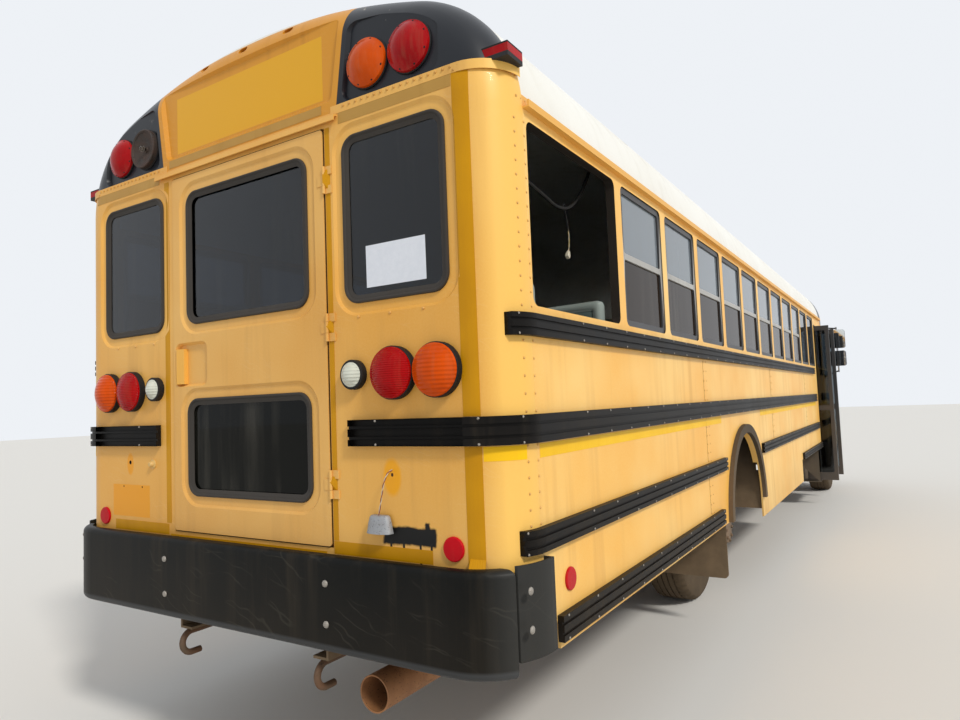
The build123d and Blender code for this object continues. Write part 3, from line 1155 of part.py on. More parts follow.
# Seats: a bench each side at every window, cushion and back, on a steel frame
SEAT_WIDTH = 985.0
CUSHION = (420.0, 110.0, 1345.0)
BACK = (85.0, 1480.0, 1925.0)
SEAT_TILT = 60.0
cushions = []
frames = []
SEAT_WALL_Y = INNER_Y - 6.0
SEAT_AISLE_Y = SEAT_WALL_Y - SEAT_WIDTH
SEAT_ROWS = WINDOW_COUNT - 1
for side in (-1, 1):
    y0, y1 = sorted((side * SEAT_AISLE_Y, side * SEAT_WALL_Y))
    for row in range(SEAT_ROWS):
        back_x = 300.0 + row * POST_PITCH
        cushion = block(back_x + 70, back_x + 70 + CUSHION[0], y0, y1, CUSHION[2], CUSHION[2] + CUSHION[1])
        cushions.append(fillet(cushion.edges().filter_by(Axis.Y), 30))
        lean = polygon((back_x, BACK[1]), (back_x + BACK[0], BACK[1]),
                       (back_x + BACK[0] - SEAT_TILT, BACK[2]), (back_x - SEAT_TILT, BACK[2]))
        backrest = prism_y(lean, y0, y1)
        cushions.append(fillet(backrest.edges().filter_by(Axis.Y).group_by(Axis.Z)[-1], 30))
        tray_z = CUSHION[2] - SEAT_GAP
        frame = block(back_x + 80, back_x + 480, y0 + 4, y1 - 4, tray_z - 20, tray_z)
        frame += block(back_x + 20, back_x + 60, y0 + 4, y1 - 4, tray_z - 20, BACK[1] - SEAT_GAP)
        frame += block(back_x + 20, back_x + 90, y0 + 4, y1 - 4, tray_z - 20, tray_z)
        leg_y = side * (SEAT_AISLE_Y + 60)
        for leg_x in (back_x + 110, back_x + 430):
            frame += rod((leg_x, leg_y, FLOOR_TOP + SEAT_GAP), (leg_x, leg_y, tray_z - 10), 16)
        wall_foot = side * (SEAT_WALL_Y - 40)
        if not WELL_X[0] - 500 < back_x < WELL_X[1]:
            foot = (back_x + 270, wall_foot, FLOOR_TOP + SEAT_GAP)
            frame += rod(foot, (foot[0], wall_foot, tray_z - 10), 16)
        frames.append(frame)
DRIVER_SEAT = (8420.0, 620.0)
driver_x, driver_y = DRIVER_SEAT
cushion = block(driver_x, driver_x + 480, driver_y - 250, driver_y + 250, 1490, 1600)
cushions.append(fillet(cushion.edges().filter_by(Axis.Y), 30))
lean = polygon((driver_x - 10, 1612), (driver_x + 95, 1612), (driver_x - 30, 2240), (driver_x - 130, 2240))
cushions.append(prism_y(lean, driver_y - 240, driver_y + 240))
driver_frame = block(
    driver_x + 40, driver_x + 440, driver_y - 200, driver_y + 200, FLOOR_TOP + SEAT_GAP, 1489.7
)
driver_frame += block(driver_x - 20, driver_x + 60, driver_y - 200, driver_y + 200, 1440, 1489.7)
driver_frame += block(driver_x - 8, driver_x - 2, driver_y - 200, driver_y + 200, 1440, 1611.7)
frames.append(driver_frame)
save("seat_cushions", *cushions)
save("seat_frames", *frames)

# Dashboard, engine cover, steering column and wheel
DASH_X = (9130.0, COWL_X - WALL - SEAT_GAP)
COLUMN_LENGTH = 520.0
dash = prism_y(
    polygon((DASH_X[1], FLOOR_TOP + SEAT_GAP), (DASH_X[1], COWL_TOP_Z - 6), (DASH_X[1] - 30, 1620),
            (DASH_X[0] + 60, 1640), (DASH_X[0], 1580), (DASH_X[0] + 40, 1400),
            (DASH_X[0] + 130, FLOOR_TOP + SEAT_GAP)), -620, INNER_Y - 100,
)
wheel_centre = Vector(9005, driver_y, 1825)
column_dir = Vector(-0.62, 0, 0.78)
column_low = wheel_centre - column_dir * COLUMN_LENGTH
dash += rod(tuple(column_low), tuple(wheel_centre), 28)
wheel_plane = Plane(origin=wheel_centre, z_dir=column_dir)
dash += wheel_plane.location * Torus(225, 15)
dash += wheel_plane.location * Cylinder(60, 30)
for turn in (0, 120, 240):
    dash += wheel_plane.location * Rot(0, 0, turn) * Pos(118, 0, 0) * Box(225, 26, 10)
save("dashboard", dash)

# Entrance steps: treads and risers between two end plates
WELL_OUT_Y = INNER_Y + 6
STEP_EDGES_Y = (960.0, 830.0, WELL_IN_Y)
step_plates = []
tread_z = FIRST_TREAD_Z
rise = (FLOOR_TOP - FIRST_TREAD_Z) / STEP_COUNT
outer = WELL_OUT_Y
step_x = (DOORWAY_REAR_X - 15, DOORWAY_FRONT_X + 15)
for edge in STEP_EDGES_Y:
    top = min(tread_z + rise, FLOOR_TOP)
    step_plates.append(block(step_x[0], step_x[1], -outer, -edge, tread_z - STEP_PLATE, tread_z))
    riser_top = top - STEP_PLATE / 2
    step_plates.append(block(*step_x, -edge - STEP_PLATE, -edge, tread_z - STEP_PLATE, riser_top))
    outer = edge
    tread_z += rise
step_well = joined(step_plates)
end_profile = polygon(
    (-INNER_Y + SEAT_GAP, FIRST_TREAD_Z - STEP_PLATE), (-WELL_IN_Y - SEAT_GAP, FIRST_TREAD_Z + 2 * rise),
    (-WELL_IN_Y - SEAT_GAP, FLOOR_TOP), (-INNER_Y + SEAT_GAP, FLOOR_TOP),
)
for plate_x in (step_x[0], step_x[1] - STEP_PLATE):
    step_well += prism_x(end_profile, plate_x, plate_x + STEP_PLATE)
save("step_well", step_well)

# Entrance door: two leaves, each turned on an upright rod set in from its edge, standing open
PIVOT_Y = -(HALF_WIDTH - LEAF_PIVOT_INSET)


def leaf_parts(front):
    """Frame and panes of one leaf as it stands open, square to the side of the bus."""
    pivot_x = DOORWAY_REAR_X + LEAF_POST_GAP + LEAF_PIVOT_FROM_EDGE
    offset = LEAF_PIVOT_INSET - LEAF_THICKNESS / 2
    leaf_x = pivot_x - offset
    y0 = PIVOT_Y - (LEAF_WIDTH - LEAF_PIVOT_FROM_EDGE)
    y1 = PIVOT_Y + LEAF_PIVOT_FROM_EDGE
    frame = block(leaf_x - LEAF_THICKNESS / 2, leaf_x + LEAF_THICKNESS / 2, y0, y1, LEAF_LOW_Z, LEAF_HIGH_Z)
    frame = fillet(frame.edges().filter_by(Axis.Z), 8)
    middle_y = (y0 + y1) / 2
    width = LEAF_WIDTH - 2 * LEAF_FRAME
    glazing = []
    for z0, z1 in ((LEAF_LOW_Z + 100, 1240.0), (1300.0, LEAF_HIGH_Z - 60)):
        hole = rounded(middle_y, (z0 + z1) / 2, width, z1 - z0, 24)
        frame -= prism_x(hole, leaf_x - 40, leaf_x + 40)
        pane = rounded(middle_y, (z0 + z1) / 2, width - 2 * SEAT_GAP, z1 - z0 - 2 * SEAT_GAP, 23)
        glazing.append(prism_x(pane, leaf_x - 3, leaf_x + 3))
    foot = (pivot_x, PIVOT_Y, FIRST_TREAD_Z + SEAT_GAP)
    frame += rod(foot, (pivot_x, PIVOT_Y, DOORWAY_HIGH_Z - SEAT_GAP), LEAF_ROD_R)
    for arm_z in (LEAF_LOW_Z + 40, 1270.0, LEAF_HIGH_Z - 30):
        frame += block(leaf_x, pivot_x, PIVOT_Y - 12, PIVOT_Y + 12, arm_z - 10, arm_z + 10)
    if front:
        middle_x = (DOORWAY_REAR_X + DOORWAY_FRONT_X) / 2
        plane = Plane.YZ.offset(middle_x)
        return mirror(frame, about=plane), [mirror(pane, about=plane) for pane in glazing]
    return frame, glazing


for front, word in ((False, "rear"), (True, "front")):
    leaf_frame, leaf_glass = leaf_parts(front)
    save(f"entrance_leaf_{word}", leaf_frame)
    save(f"entrance_glass_{word}", *leaf_glass)

# Hood: nose and both wings in one shell, hinged at its front lower edge


def hood_form(inset):
    """Outer form of the hood at inset 0, or the hollow inside it."""
    low = HOOD_LOW_Z - (400 if inset else 0)
    reach = 30 if inset else 0

    def section(x, half, top):
        height = top - inset - low
        face = Pos(0, low + height / 2) * RectangleRounded(2 * (half - inset), height, 110 - inset)
        return Plane.YZ.offset(x) * face

    centre = loft([section(HOOD_REAR_X - reach, HOOD_REAR_HALF, HOOD_REAR_TOP),
                   section(HOOD_FRONT_X - inset, HOOD_FRONT_HALF, HOOD_FRONT_TOP)], ruled=True)
    rear_x = HOOD_REAR_X - reach
    front_x = FENDER_FRONT_X - inset
    low_z = FENDER_LOW_Z - reach
    outline = Polyline((front_x, 1010 - inset), (front_x, low_z), (rear_x, low_z), (rear_x, 1330 - inset))
    outline += ThreePointArc(
        (rear_x, 1330 - inset), (10060, 1235 - inset), (front_x, 1010 - inset)
    )
    wings = prism_y(make_face(outline), FENDER_IN_Y, FENDER_OUT_Y - inset)
    rim = wings.edges().filter_by_position(Axis.Y, FENDER_OUT_Y - inset - 1, FENDER_OUT_Y + 1)
    rim = [edge for edge in rim if edge.center().X > rear_x + 1 and edge.center().Z > low_z + 1]
    wings = fillet(rim, 60 - inset)
    return centre + wings + mirror(wings, about=Plane.XZ)


hood = hood_form(0) - hood_form(HOOD_SHEET)
hood -= rod(
    (FRONT_AXLE_X, -HALF_WIDTH - 50, WHEEL_R), (FRONT_AXLE_X, HALF_WIDTH + 50, WHEEL_R), FRONT_ARCH_R
)
hood -= block(HOOD_REAR_X - 100, 10450, -FENDER_OUT_Y, FENDER_OUT_Y, 0, 700)
well_y = FENDER_OUT_Y - 100
hood -= block(HOOD_REAR_X - 100, HOOD_FRONT_X - 150, -well_y, well_y, 0, HOOD_LOW_Z + 120)
HOOD_LUG_TOP = 845.0
GRILLE = (480.0, 850.0, 1190.0)
hood -= prism_x(rounded(0, (GRILLE[1] + GRILLE[2]) / 2, 2 * GRILLE[0], GRILLE[2] - GRILLE[1], 40),
                HOOD_FRONT_X - 60, HOOD_FRONT_X + 20)
HEADLAMP = (905.0, 850.0, 300.0, 170.0)
for side in (-1, 1):
    hood -= prism_x(rounded(side * HEADLAMP[0], HEADLAMP[1], HEADLAMP[2], HEADLAMP[3], 30),
                    FENDER_FRONT_X - 60, FENDER_FRONT_X + 20)
for side in (-1, 1):
    near, far = sorted((side * HOOD_LUG_Y[0], side * HOOD_LUG_Y[1]))
    hood += block(
        HOOD_FRONT_X - HOOD_BOSS_R, HOOD_PIVOT[0], near, far, HOOD_PIVOT[1] - HOOD_BOSS_R / 2, HOOD_LUG_TOP
    )
    pivot = ((HOOD_PIVOT[0], near, HOOD_PIVOT[1]), (HOOD_PIVOT[0], far, HOOD_PIVOT[1]))
    hood += rod(*pivot, HOOD_BOSS_R)
    hood -= rod(*pivot, HOOD_PIN_R + SPINDLE_RUNNING)
save("hood", hood)

# Grille: a surround with level bars that taper to their front edge
BAR_COUNT = 7
grille_x = HOOD_FRONT_X - HOOD_SHEET
outer = rounded(0, (GRILLE[1] + GRILLE[2]) / 2, 2 * GRILLE[0] - 0.6, GRILLE[2] - GRILLE[1] - 0.6, 39.7)
inner = rounded(0, (GRILLE[1] + GRILLE[2]) / 2, 2 * GRILLE[0] - 50, GRILLE[2] - GRILLE[1] - 50, 18)
grille = prism_x(outer - inner, grille_x - 22, HOOD_FRONT_X + 8)
bar_pitch = (GRILLE[2] - GRILLE[1] - 50) / (BAR_COUNT + 1)
for index in range(BAR_COUNT):
    bar_z = GRILLE[1] + 25 + bar_pitch * (index + 1)
    bar = polygon((grille_x - 20, bar_z - 11), (HOOD_FRONT_X + 2, bar_z - 5), (HOOD_FRONT_X + 2, bar_z + 5),
                  (grille_x - 20, bar_z + 11))
    grille += prism_y(bar, -GRILLE[0] + 20, GRILLE[0] - 20)
save("grille", grille)

headlamps = []
for side in (-1, 1):
    bezel = rounded(side * HEADLAMP[0], HEADLAMP[1], HEADLAMP[2] - 0.6, HEADLAMP[3] - 0.6, 29.7)
    lamp = prism_x(bezel, FENDER_FRONT_X - 40, FENDER_FRONT_X + 4)
    for step in (-0.25, 0.25):
        lens_y = side * HEADLAMP[0] + step * HEADLAMP[2]
        start = (FENDER_FRONT_X + 3, lens_y, HEADLAMP[1])
        lamp += rod(start, (FENDER_FRONT_X + 12, lens_y, HEADLAMP[1]), 62)
    headlamps.append(lamp)
save("headlamps", *headlamps)

# Lamps on the rear: y, z, radius, how far the dome stands out
TAIL_LAMPS = (
    (777.0, 1617.0, 88.0, 45.0),
    (960.0, 1617.0, 88.0, 45.0),
    (595.0, 1623.0, 56.0, 22.0),
)


def dome(y, z, radius, out, face_x):
    """A domed round lens on a short rim."""
    rim_height = out * 0.35
    rise = out - rim_height
    sphere_r = (radius ** 2 + rise ** 2) / (2 * rise)
    lens = rod((face_x - rim_height, y, z), (face_x - SEAT_GAP, y, z), radius)
    ball = Pos(face_x - out + sphere_r, y, z) * Sphere(sphere_r)
    front = block(
        face_x - out - 1, face_x - rim_height + 0.5, y - radius, y + radius, z - radius, z + radius
    )
    return lens + (ball & front)


lamps = []
for side in (-1, 1):
    for y, z, radius, out in TAIL_LAMPS:
        lamps.append(dome(side * y, z, radius, out, 0))
    lamps.append(dome(side * RED_WARNING_Y, WARNING_LAMP_Z, WARNING_LAMP_R, 52, CAP_POCKET_DEPTH))
lamps.append(dome(-AMBER_WARNING_Y, WARNING_LAMP_Z, WARNING_LAMP_R, 52, CAP_POCKET_DEPTH))
bowl_back = CAP_POCKET_DEPTH - SEAT_GAP
bowl_front = (-14, AMBER_WARNING_Y, WARNING_LAMP_Z)
bowl = rod(bowl_front, (bowl_back, AMBER_WARNING_Y, WARNING_LAMP_Z), WARNING_LAMP_R)
bowl -= rod(bowl_front, (bowl_back - 5, AMBER_WARNING_Y, WARNING_LAMP_Z), WARNING_LAMP_R - 7)
lamps.append(bowl)
REFLECTOR_R = 40.0
REFLECTOR_OUT = 9.0
REAR_REFLECTOR = (1003.0, 1040.0)
SIDE_REFLECTOR = (371.0, 885.0)
for side in (-1, 1):
    y, z = side * REAR_REFLECTOR[0], REAR_REFLECTOR[1]
    lamps.append(rod((-REFLECTOR_OUT, y, z), (-SEAT_GAP, y, z), REFLECTOR_R))
    x, z = SIDE_REFLECTOR
    skin = side * (HALF_WIDTH + SEAT_GAP)
    lamps.append(rod((x, skin, z), (x, skin + side * REFLECTOR_OUT, z), REFLECTOR_R))

# Clearance lamp on each upper corner: x from, x to, y from, y to, z from, z to
CORNER_LAMP = (50.0, 150.0, 1100.0, 1238.0, 2618.0, 2666.0)
lamps += both_sides(block(*CORNER_LAMP) - rear_form(-SEAT_GAP))
save("rear_lamps", *lamps)

front_lamps = []
for side in (-1, 1):
    for lamp_y in (AMBER_WARNING_Y, RED_WARNING_Y):
        rear_lamp = dome(side * lamp_y, WARNING_LAMP_Z, WARNING_LAMP_R, 52, CAP_POCKET_DEPTH)
        front_lamps.append(mirror(rear_lamp, about=FRONT_FROM_REAR))
save("front_lamps", *front_lamps)

# Licence lamp, hanging by its wires from the hole left by the one that is gone
LICENCE_WIRE_R = 3.0
WIRE_ROUTE = (
    (0, -748, 1286), (-20, -748, 1283), (-33, -744, 1262), (-36, -735, 1230), (-31, -724, 1196),
    (-25, -711, 1160), (-24, -701, 1124),
)


def hanging(name, route, radius):
    """A tube of straight runs and tangent arcs along a route, and the direction of its last run."""
    runs = [Vector(*b) - Vector(*a) for a, b in zip(route, route[1:])]
    radii = []
    for before, after in zip(runs, runs[1:]):
        shorter = min(before.length, after.length)
        radii.append(0.45 * shorter / tan(radians(before.get_angle(after) / 2)))
    path = FilletPolyline(*route, radius=radii)
    tube = sweep(Plane(origin=route[0], z_dir=runs[0]) * Circle(radius), path=path)
    print(name, "bend radii", [round(bend, 1) for bend in radii])
    by_section = tube.volume / (pi * radius ** 2)
    print(name, "length", round(path.length, 1), "volume over section", round(by_section, 1))
    return tube, runs[-1]


licence_wire, wire_end = hanging("licence_wire", WIRE_ROUTE, LICENCE_WIRE_R)
save("licence_wire", licence_wire)
LAMP_TOP = Vector(*WIRE_ROUTE[-1])
LICENCE_LAMP = (34.0, 104.0, 40.0)
lamp_plane = Plane(origin=LAMP_TOP, x_dir=(1, 0, 0), z_dir=-wire_end)
licence_lamp = lamp_plane.location * Pos(0, 0, -LICENCE_LAMP[2] / 2) * Box(*LICENCE_LAMP)
licence_lamp = fillet(licence_lamp.edges(), 9)
save("licence_lamp", licence_lamp)

# A conduit that has come down inside the first window, from the rear wall up to the ceiling
CONDUIT_R = 7.0
CONDUIT_ROUTE = (
    (40.2, -1040, 2374), (150, -1050, 2370), (280, -1072, 2353), (415, -1092, 2331), (545, -1098, 2305),
    (665, -1094, 2284), (780, -1096, 2300), (872, -1099, 2362), (962, -1097, 2448), (1035, -1098, 2545),
    (1084, -1095, 2655), (1100, -1090, 2790),
)
conduit, _ = hanging("loose_conduit", CONDUIT_ROUTE, CONDUIT_R)
conduit &= prism_x(roof_section(WALL + 0.15, FLOOR_TOP), WALL, ROOF_FRONT_X)
save("loose_conduit", conduit)

# Thin wires that hang from it
TAIL_R = 2.5
TAIL_ROUTE = (
    (745, -1095.4, 2295), (768, -1090, 2262), (784, -1088, 2228), (788, -1089, 2190), (780, -1092, 2154),
    (766, -1095, 2121), (748, -1096, 2090),
)
tail, _ = hanging("loose_tail", TAIL_ROUTE, TAIL_R)
around_conduit, _ = hanging("room for the conduit", CONDUIT_ROUTE, CONDUIT_R + 0.1)
tail -= around_conduit
save("loose_tail", tail)

# Mirrors: an arm from the pillar, a diagonal strut and two heads
MIRROR_Y = (1285.0, 1500.0)
MIRROR_X = 9430.0
mirror_head = block(MIRROR_X - 60, MIRROR_X, MIRROR_Y[0], MIRROR_Y[1], 2110, 2380)
mirror_head = fillet(mirror_head.edges().filter_by(Axis.X), 30)
lower_head = block(MIRROR_X - 60, MIRROR_X, MIRROR_Y[0], MIRROR_Y[1], 1850, 2070)
lower_head = fillet(lower_head.edges().filter_by(Axis.X), 30)
mirror_set = mirror_head + lower_head
bar_x = MIRROR_X - 30
bar_y = sum(MIRROR_Y) / 2
mirror_set += rod((bar_x, bar_y, 1760), (bar_x, bar_y, 2420), 11)
arm_root_x = 9300.0
for arm_z, root_z in ((2400, 2400), (1780, 1700)):
    root_x = min(arm_root_x, raked_x(root_z) - FRONT_CORNER_R - 20)
    mirror_set += rod((root_x, HALF_WIDTH + SEAT_GAP, root_z), (bar_x, bar_y, arm_z), 10)
    mirror_set += rod((root_x, HALF_WIDTH + SEAT_GAP, root_z), (root_x, HALF_WIDTH + 14, root_z), 30)
mirror_set &= block(8000, 10000, HALF_WIDTH + SEAT_GAP, MIRROR_Y[1], 1600, 2500)
save("mirrors", *both_sides(mirror_set))

# Stop arm: an octagon folded back along the driver's side on an upright hinge
STOP_X = 7900.0
STOP_Z = 1588.0
STOP_SIZE = 457.0
STOP_OUT = 46.0
stop_blade = Pos(STOP_X - 280, STOP_Z) * RegularPolygon(STOP_SIZE / 2 / cos(pi / 8), 8, rotation=22.5)
stop_arm = prism_y(stop_blade, HALF_WIDTH + STOP_OUT, HALF_WIDTH + STOP_OUT + 6)
stop_arm += block(
    STOP_X - 90, STOP_X, HALF_WIDTH + STOP_OUT, HALF_WIDTH + STOP_OUT + 14, STOP_Z - 90, STOP_Z + 90
)
STOP_EAR_Z = 96.0
STOP_EAR = 24.0
rod_reach = STOP_EAR_Z - SEAT_GAP
stop_y = HALF_WIDTH + STOP_OUT
stop_arm += rod((STOP_X, stop_y, STOP_Z - rod_reach), (STOP_X, stop_y, STOP_Z + rod_reach), 13)
save("stop_arm", stop_arm)
stop_base = block(
    STOP_X - 60, STOP_X + 60, HALF_WIDTH + SEAT_GAP, stop_y - 20,
    STOP_Z - STOP_EAR_Z - STOP_EAR, STOP_Z + STOP_EAR_Z + STOP_EAR,
)
for low_z in (STOP_Z - STOP_EAR_Z - STOP_EAR, STOP_Z + STOP_EAR_Z):
    stop_base += block(STOP_X - 16, STOP_X + 16, stop_y - 21, stop_y + 13, low_z, low_z + STOP_EAR)
save("stop_arm_base", stop_base)
print("x offset", CENTRE_X, "overall", FRONT_END_X + BUMPER_OUT)
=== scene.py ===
# %% [markdown]
# # A retired school bus, seen from behind
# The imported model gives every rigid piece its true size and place. This lesson dresses it: paint that
# the sun has bleached, rubber seals, lamps with moulded lenses, rivets, reflective tape, seats and dust.
# Everything is in metres. +X runs forward along the bus, +Y to the driver's side and +Z up.

# %% Load the frame
import math
from contextlib import contextmanager

import bmesh
import bpy
from mathutils import Matrix, Vector
from mathutils.bvhtree import BVHTree


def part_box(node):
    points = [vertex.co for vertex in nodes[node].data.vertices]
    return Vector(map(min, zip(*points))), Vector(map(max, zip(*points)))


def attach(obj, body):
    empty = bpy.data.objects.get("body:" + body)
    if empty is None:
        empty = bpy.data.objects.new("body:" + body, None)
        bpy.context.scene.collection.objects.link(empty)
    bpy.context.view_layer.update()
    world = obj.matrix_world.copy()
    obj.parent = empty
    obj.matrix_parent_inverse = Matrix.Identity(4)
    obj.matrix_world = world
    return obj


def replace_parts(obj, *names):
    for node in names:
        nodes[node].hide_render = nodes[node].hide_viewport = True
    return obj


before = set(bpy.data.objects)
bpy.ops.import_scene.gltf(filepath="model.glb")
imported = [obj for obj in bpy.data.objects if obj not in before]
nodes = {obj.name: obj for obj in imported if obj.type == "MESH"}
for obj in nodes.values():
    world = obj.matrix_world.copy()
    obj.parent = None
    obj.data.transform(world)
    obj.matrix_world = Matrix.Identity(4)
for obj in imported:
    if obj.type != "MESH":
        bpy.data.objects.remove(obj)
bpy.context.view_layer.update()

REAR_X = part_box("rear_cap")[0].x
HALF_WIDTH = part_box("side_wall_left")[1].y
CORNER_R = 0.160
ROOF_TOP_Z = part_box("roof")[1].z
DOOR_SKIN_X = REAR_X - 0.006
print("rear wall at", round(REAR_X, 4), "half width", round(HALF_WIDTH, 4), "top", round(ROOF_TOP_Z, 3))

# %% [markdown]
# ## Small helpers
# A finished piece keeps its object at the origin, with its place in its mesh, so that patterns on
# Object coordinates stay put. These few functions make meshes, join them and put them on a body.


# %% Mesh helpers
MERGE_DISTANCE = 0.00005


def linked(name, data):
    """A new object in the scene, at the origin."""
    piece = bpy.data.objects.new(name, data)
    bpy.context.scene.collection.objects.link(piece)
    return piece


def mesh_object(name, verts, faces, smooth=False):
    mesh = bpy.data.meshes.new(name)
    mesh.from_pydata([tuple(v) for v in verts], [], faces)
    mesh.update()
    if smooth:
        for polygon in mesh.polygons:
            polygon.use_smooth = True
    return linked(name, mesh)


def from_bmesh(name, work):
    """Write what was worked on to a new object, and end the work."""
    mesh = bpy.data.meshes.new(name)
    work.to_mesh(mesh)
    work.free()
    return linked(name, mesh)


@contextmanager
def reworked(piece):
    """Open a piece's mesh for work, and write it back at the end."""
    work = bmesh.new()
    work.from_mesh(piece.data)
    yield work
    work.to_mesh(piece.data)
    work.free()
    piece.data.update()


def outward(piece):
    """Merge doubled points and turn every face outwards."""
    with reworked(piece) as work:
        bmesh.ops.remove_doubles(work, verts=work.verts, dist=MERGE_DISTANCE)
        bmesh.ops.recalc_face_normals(work, faces=work.faces)
    return piece


def applied(piece):
    """Replace a curve, or a mesh with modifiers, by its finished plain mesh."""
    graph = bpy.context.evaluated_depsgraph_get()
    mesh = bpy.data.meshes.new_from_object(piece.evaluated_get(graph))
    name = piece.name
    mesh.transform(piece.matrix_world)
    bpy.data.objects.remove(piece)
    made = linked(name, mesh)
    made.name = name
    return made


def joined(name, pieces):
    """Several meshes as one object. Each keeps its materials."""
    work = bmesh.new()
    slots = []
    for piece in pieces:
        start = len(work.faces)
        work.from_mesh(piece.data)
        work.faces.ensure_lookup_table()
        places = []
        for material in piece.data.materials:
            if material not in slots:
                slots.append(material)
            places.append(slots.index(material))
        for face in work.faces[start:]:
            if places:
                face.material_index = places[min(face.material_index, len(places) - 1)]
    for piece in pieces:
        bpy.data.objects.remove(piece)
    whole = from_bmesh(name, work)
    for material in slots:
        whole.data.materials.append(material)
    return whole


def painted(piece, material):
    piece.data.materials.clear()
    piece.data.materials.append(material)
    return piece


def smoothed(piece, angle=40):
    """Smooth shading, with edges sharper than the angle left crisp."""
    with reworked(piece) as work:
        for edge in work.edges:
            edge.smooth = edge.calc_face_angle(0) < math.radians(angle)
        for face in work.faces:
            face.smooth = True
    return piece


def fitted(piece, body, slot=None):
    """Put a finished piece on its body. The slot argument is not used."""
    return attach(piece, body)


def tube(name, points, radius, closed=False, sides=3):
    """A round bar along points."""
    curve = bpy.data.curves.new(name, "CURVE")
    curve.dimensions = "3D"
    curve.bevel_depth = radius
    curve.bevel_resolution = sides
    curve.use_fill_caps = not closed
    spline = curve.splines.new("POLY")
    spline.points.add(len(points) - 1)
    for place, point in zip(spline.points, points):
        place.co = (*point, 1)
    spline.use_cyclic_u = closed
    return outward(applied(linked(name, curve)))


def box_piece(name, low, high, bevel):
    """A box between two corners, with rounded edges."""
    work = bmesh.new()
    bmesh.ops.create_cube(work, size=1)
    low, high = Vector(low), Vector(high)
    size = high - low
    for vert in work.verts:
        vert.co = Vector(low[i] + (vert.co[i] + 0.5) * size[i] for i in range(3))
    bmesh.ops.bevel(work, geom=work.edges[:], offset=bevel, segments=2, affect="EDGES", profile=0.5)
    return outward(from_bmesh(name, work))


# %% [markdown]
# Many trims here are one small profile that follows a closed loop: a window rubber, a lamp gasket, the
# bead of a door. The loop carries its outward directions, so one function can sweep them all.


# %% Loops and sweeps
def rounded_loop(width, height, radius, steps=6):
    """Points and outward directions round a rounded rectangle about its centre, in its own plane."""
    points = []
    for sign_x, sign_y, start in ((1, 1, 0), (-1, 1, 90), (-1, -1, 180), (1, -1, 270)):
        for step in range(steps + 1):
            turn = math.radians(start + 90 * step / steps)
            out = (math.cos(turn), math.sin(turn))
            points.append((sign_x * (width / 2 - radius) + radius * out[0],
                           sign_y * (height / 2 - radius) + radius * out[1], *out))
    return points


def swept_loop(name, loop, place, profile):
    """Sweep a closed profile of (outward, up) round a loop. place(a, b, up) gives the point in space."""
    verts = []
    faces = []
    count = len(profile)
    for a, b, out_a, out_b in loop:
        for out, up in profile:
            verts.append(place(a + out_a * out, b + out_b * out, up))
    total = len(loop)
    for i in range(total):
        j = (i + 1) % total
        for k in range(count):
            n = (k + 1) % count
            faces.append((i * count + k, j * count + k, j * count + n, i * count + n))
    return outward(mesh_object(name, verts, faces))


def on_rear(x):
    """Place for loops drawn on a rear face: a is y, b is z and up is away from the face."""
    return lambda a, b, up: (x - up, a, b)


def shifted(loop, a0, b0):
    return [(a + a0, b + b0, out_a, out_b) for a, b, out_a, out_b in loop]


# %% [markdown]
# ## Rows of rivets
# The skins of a bus body are held by hundreds of dome-headed rivets, in straight rows at an even
# pitch. Geometry Nodes suit that: each row is one edge of a guide mesh that carries the direction in
# which the heads point. The tree walks along the guides, sets a head at each step and turns it.


# %% A tree that sets heads along guides
HEAD_TAPER = 0.55


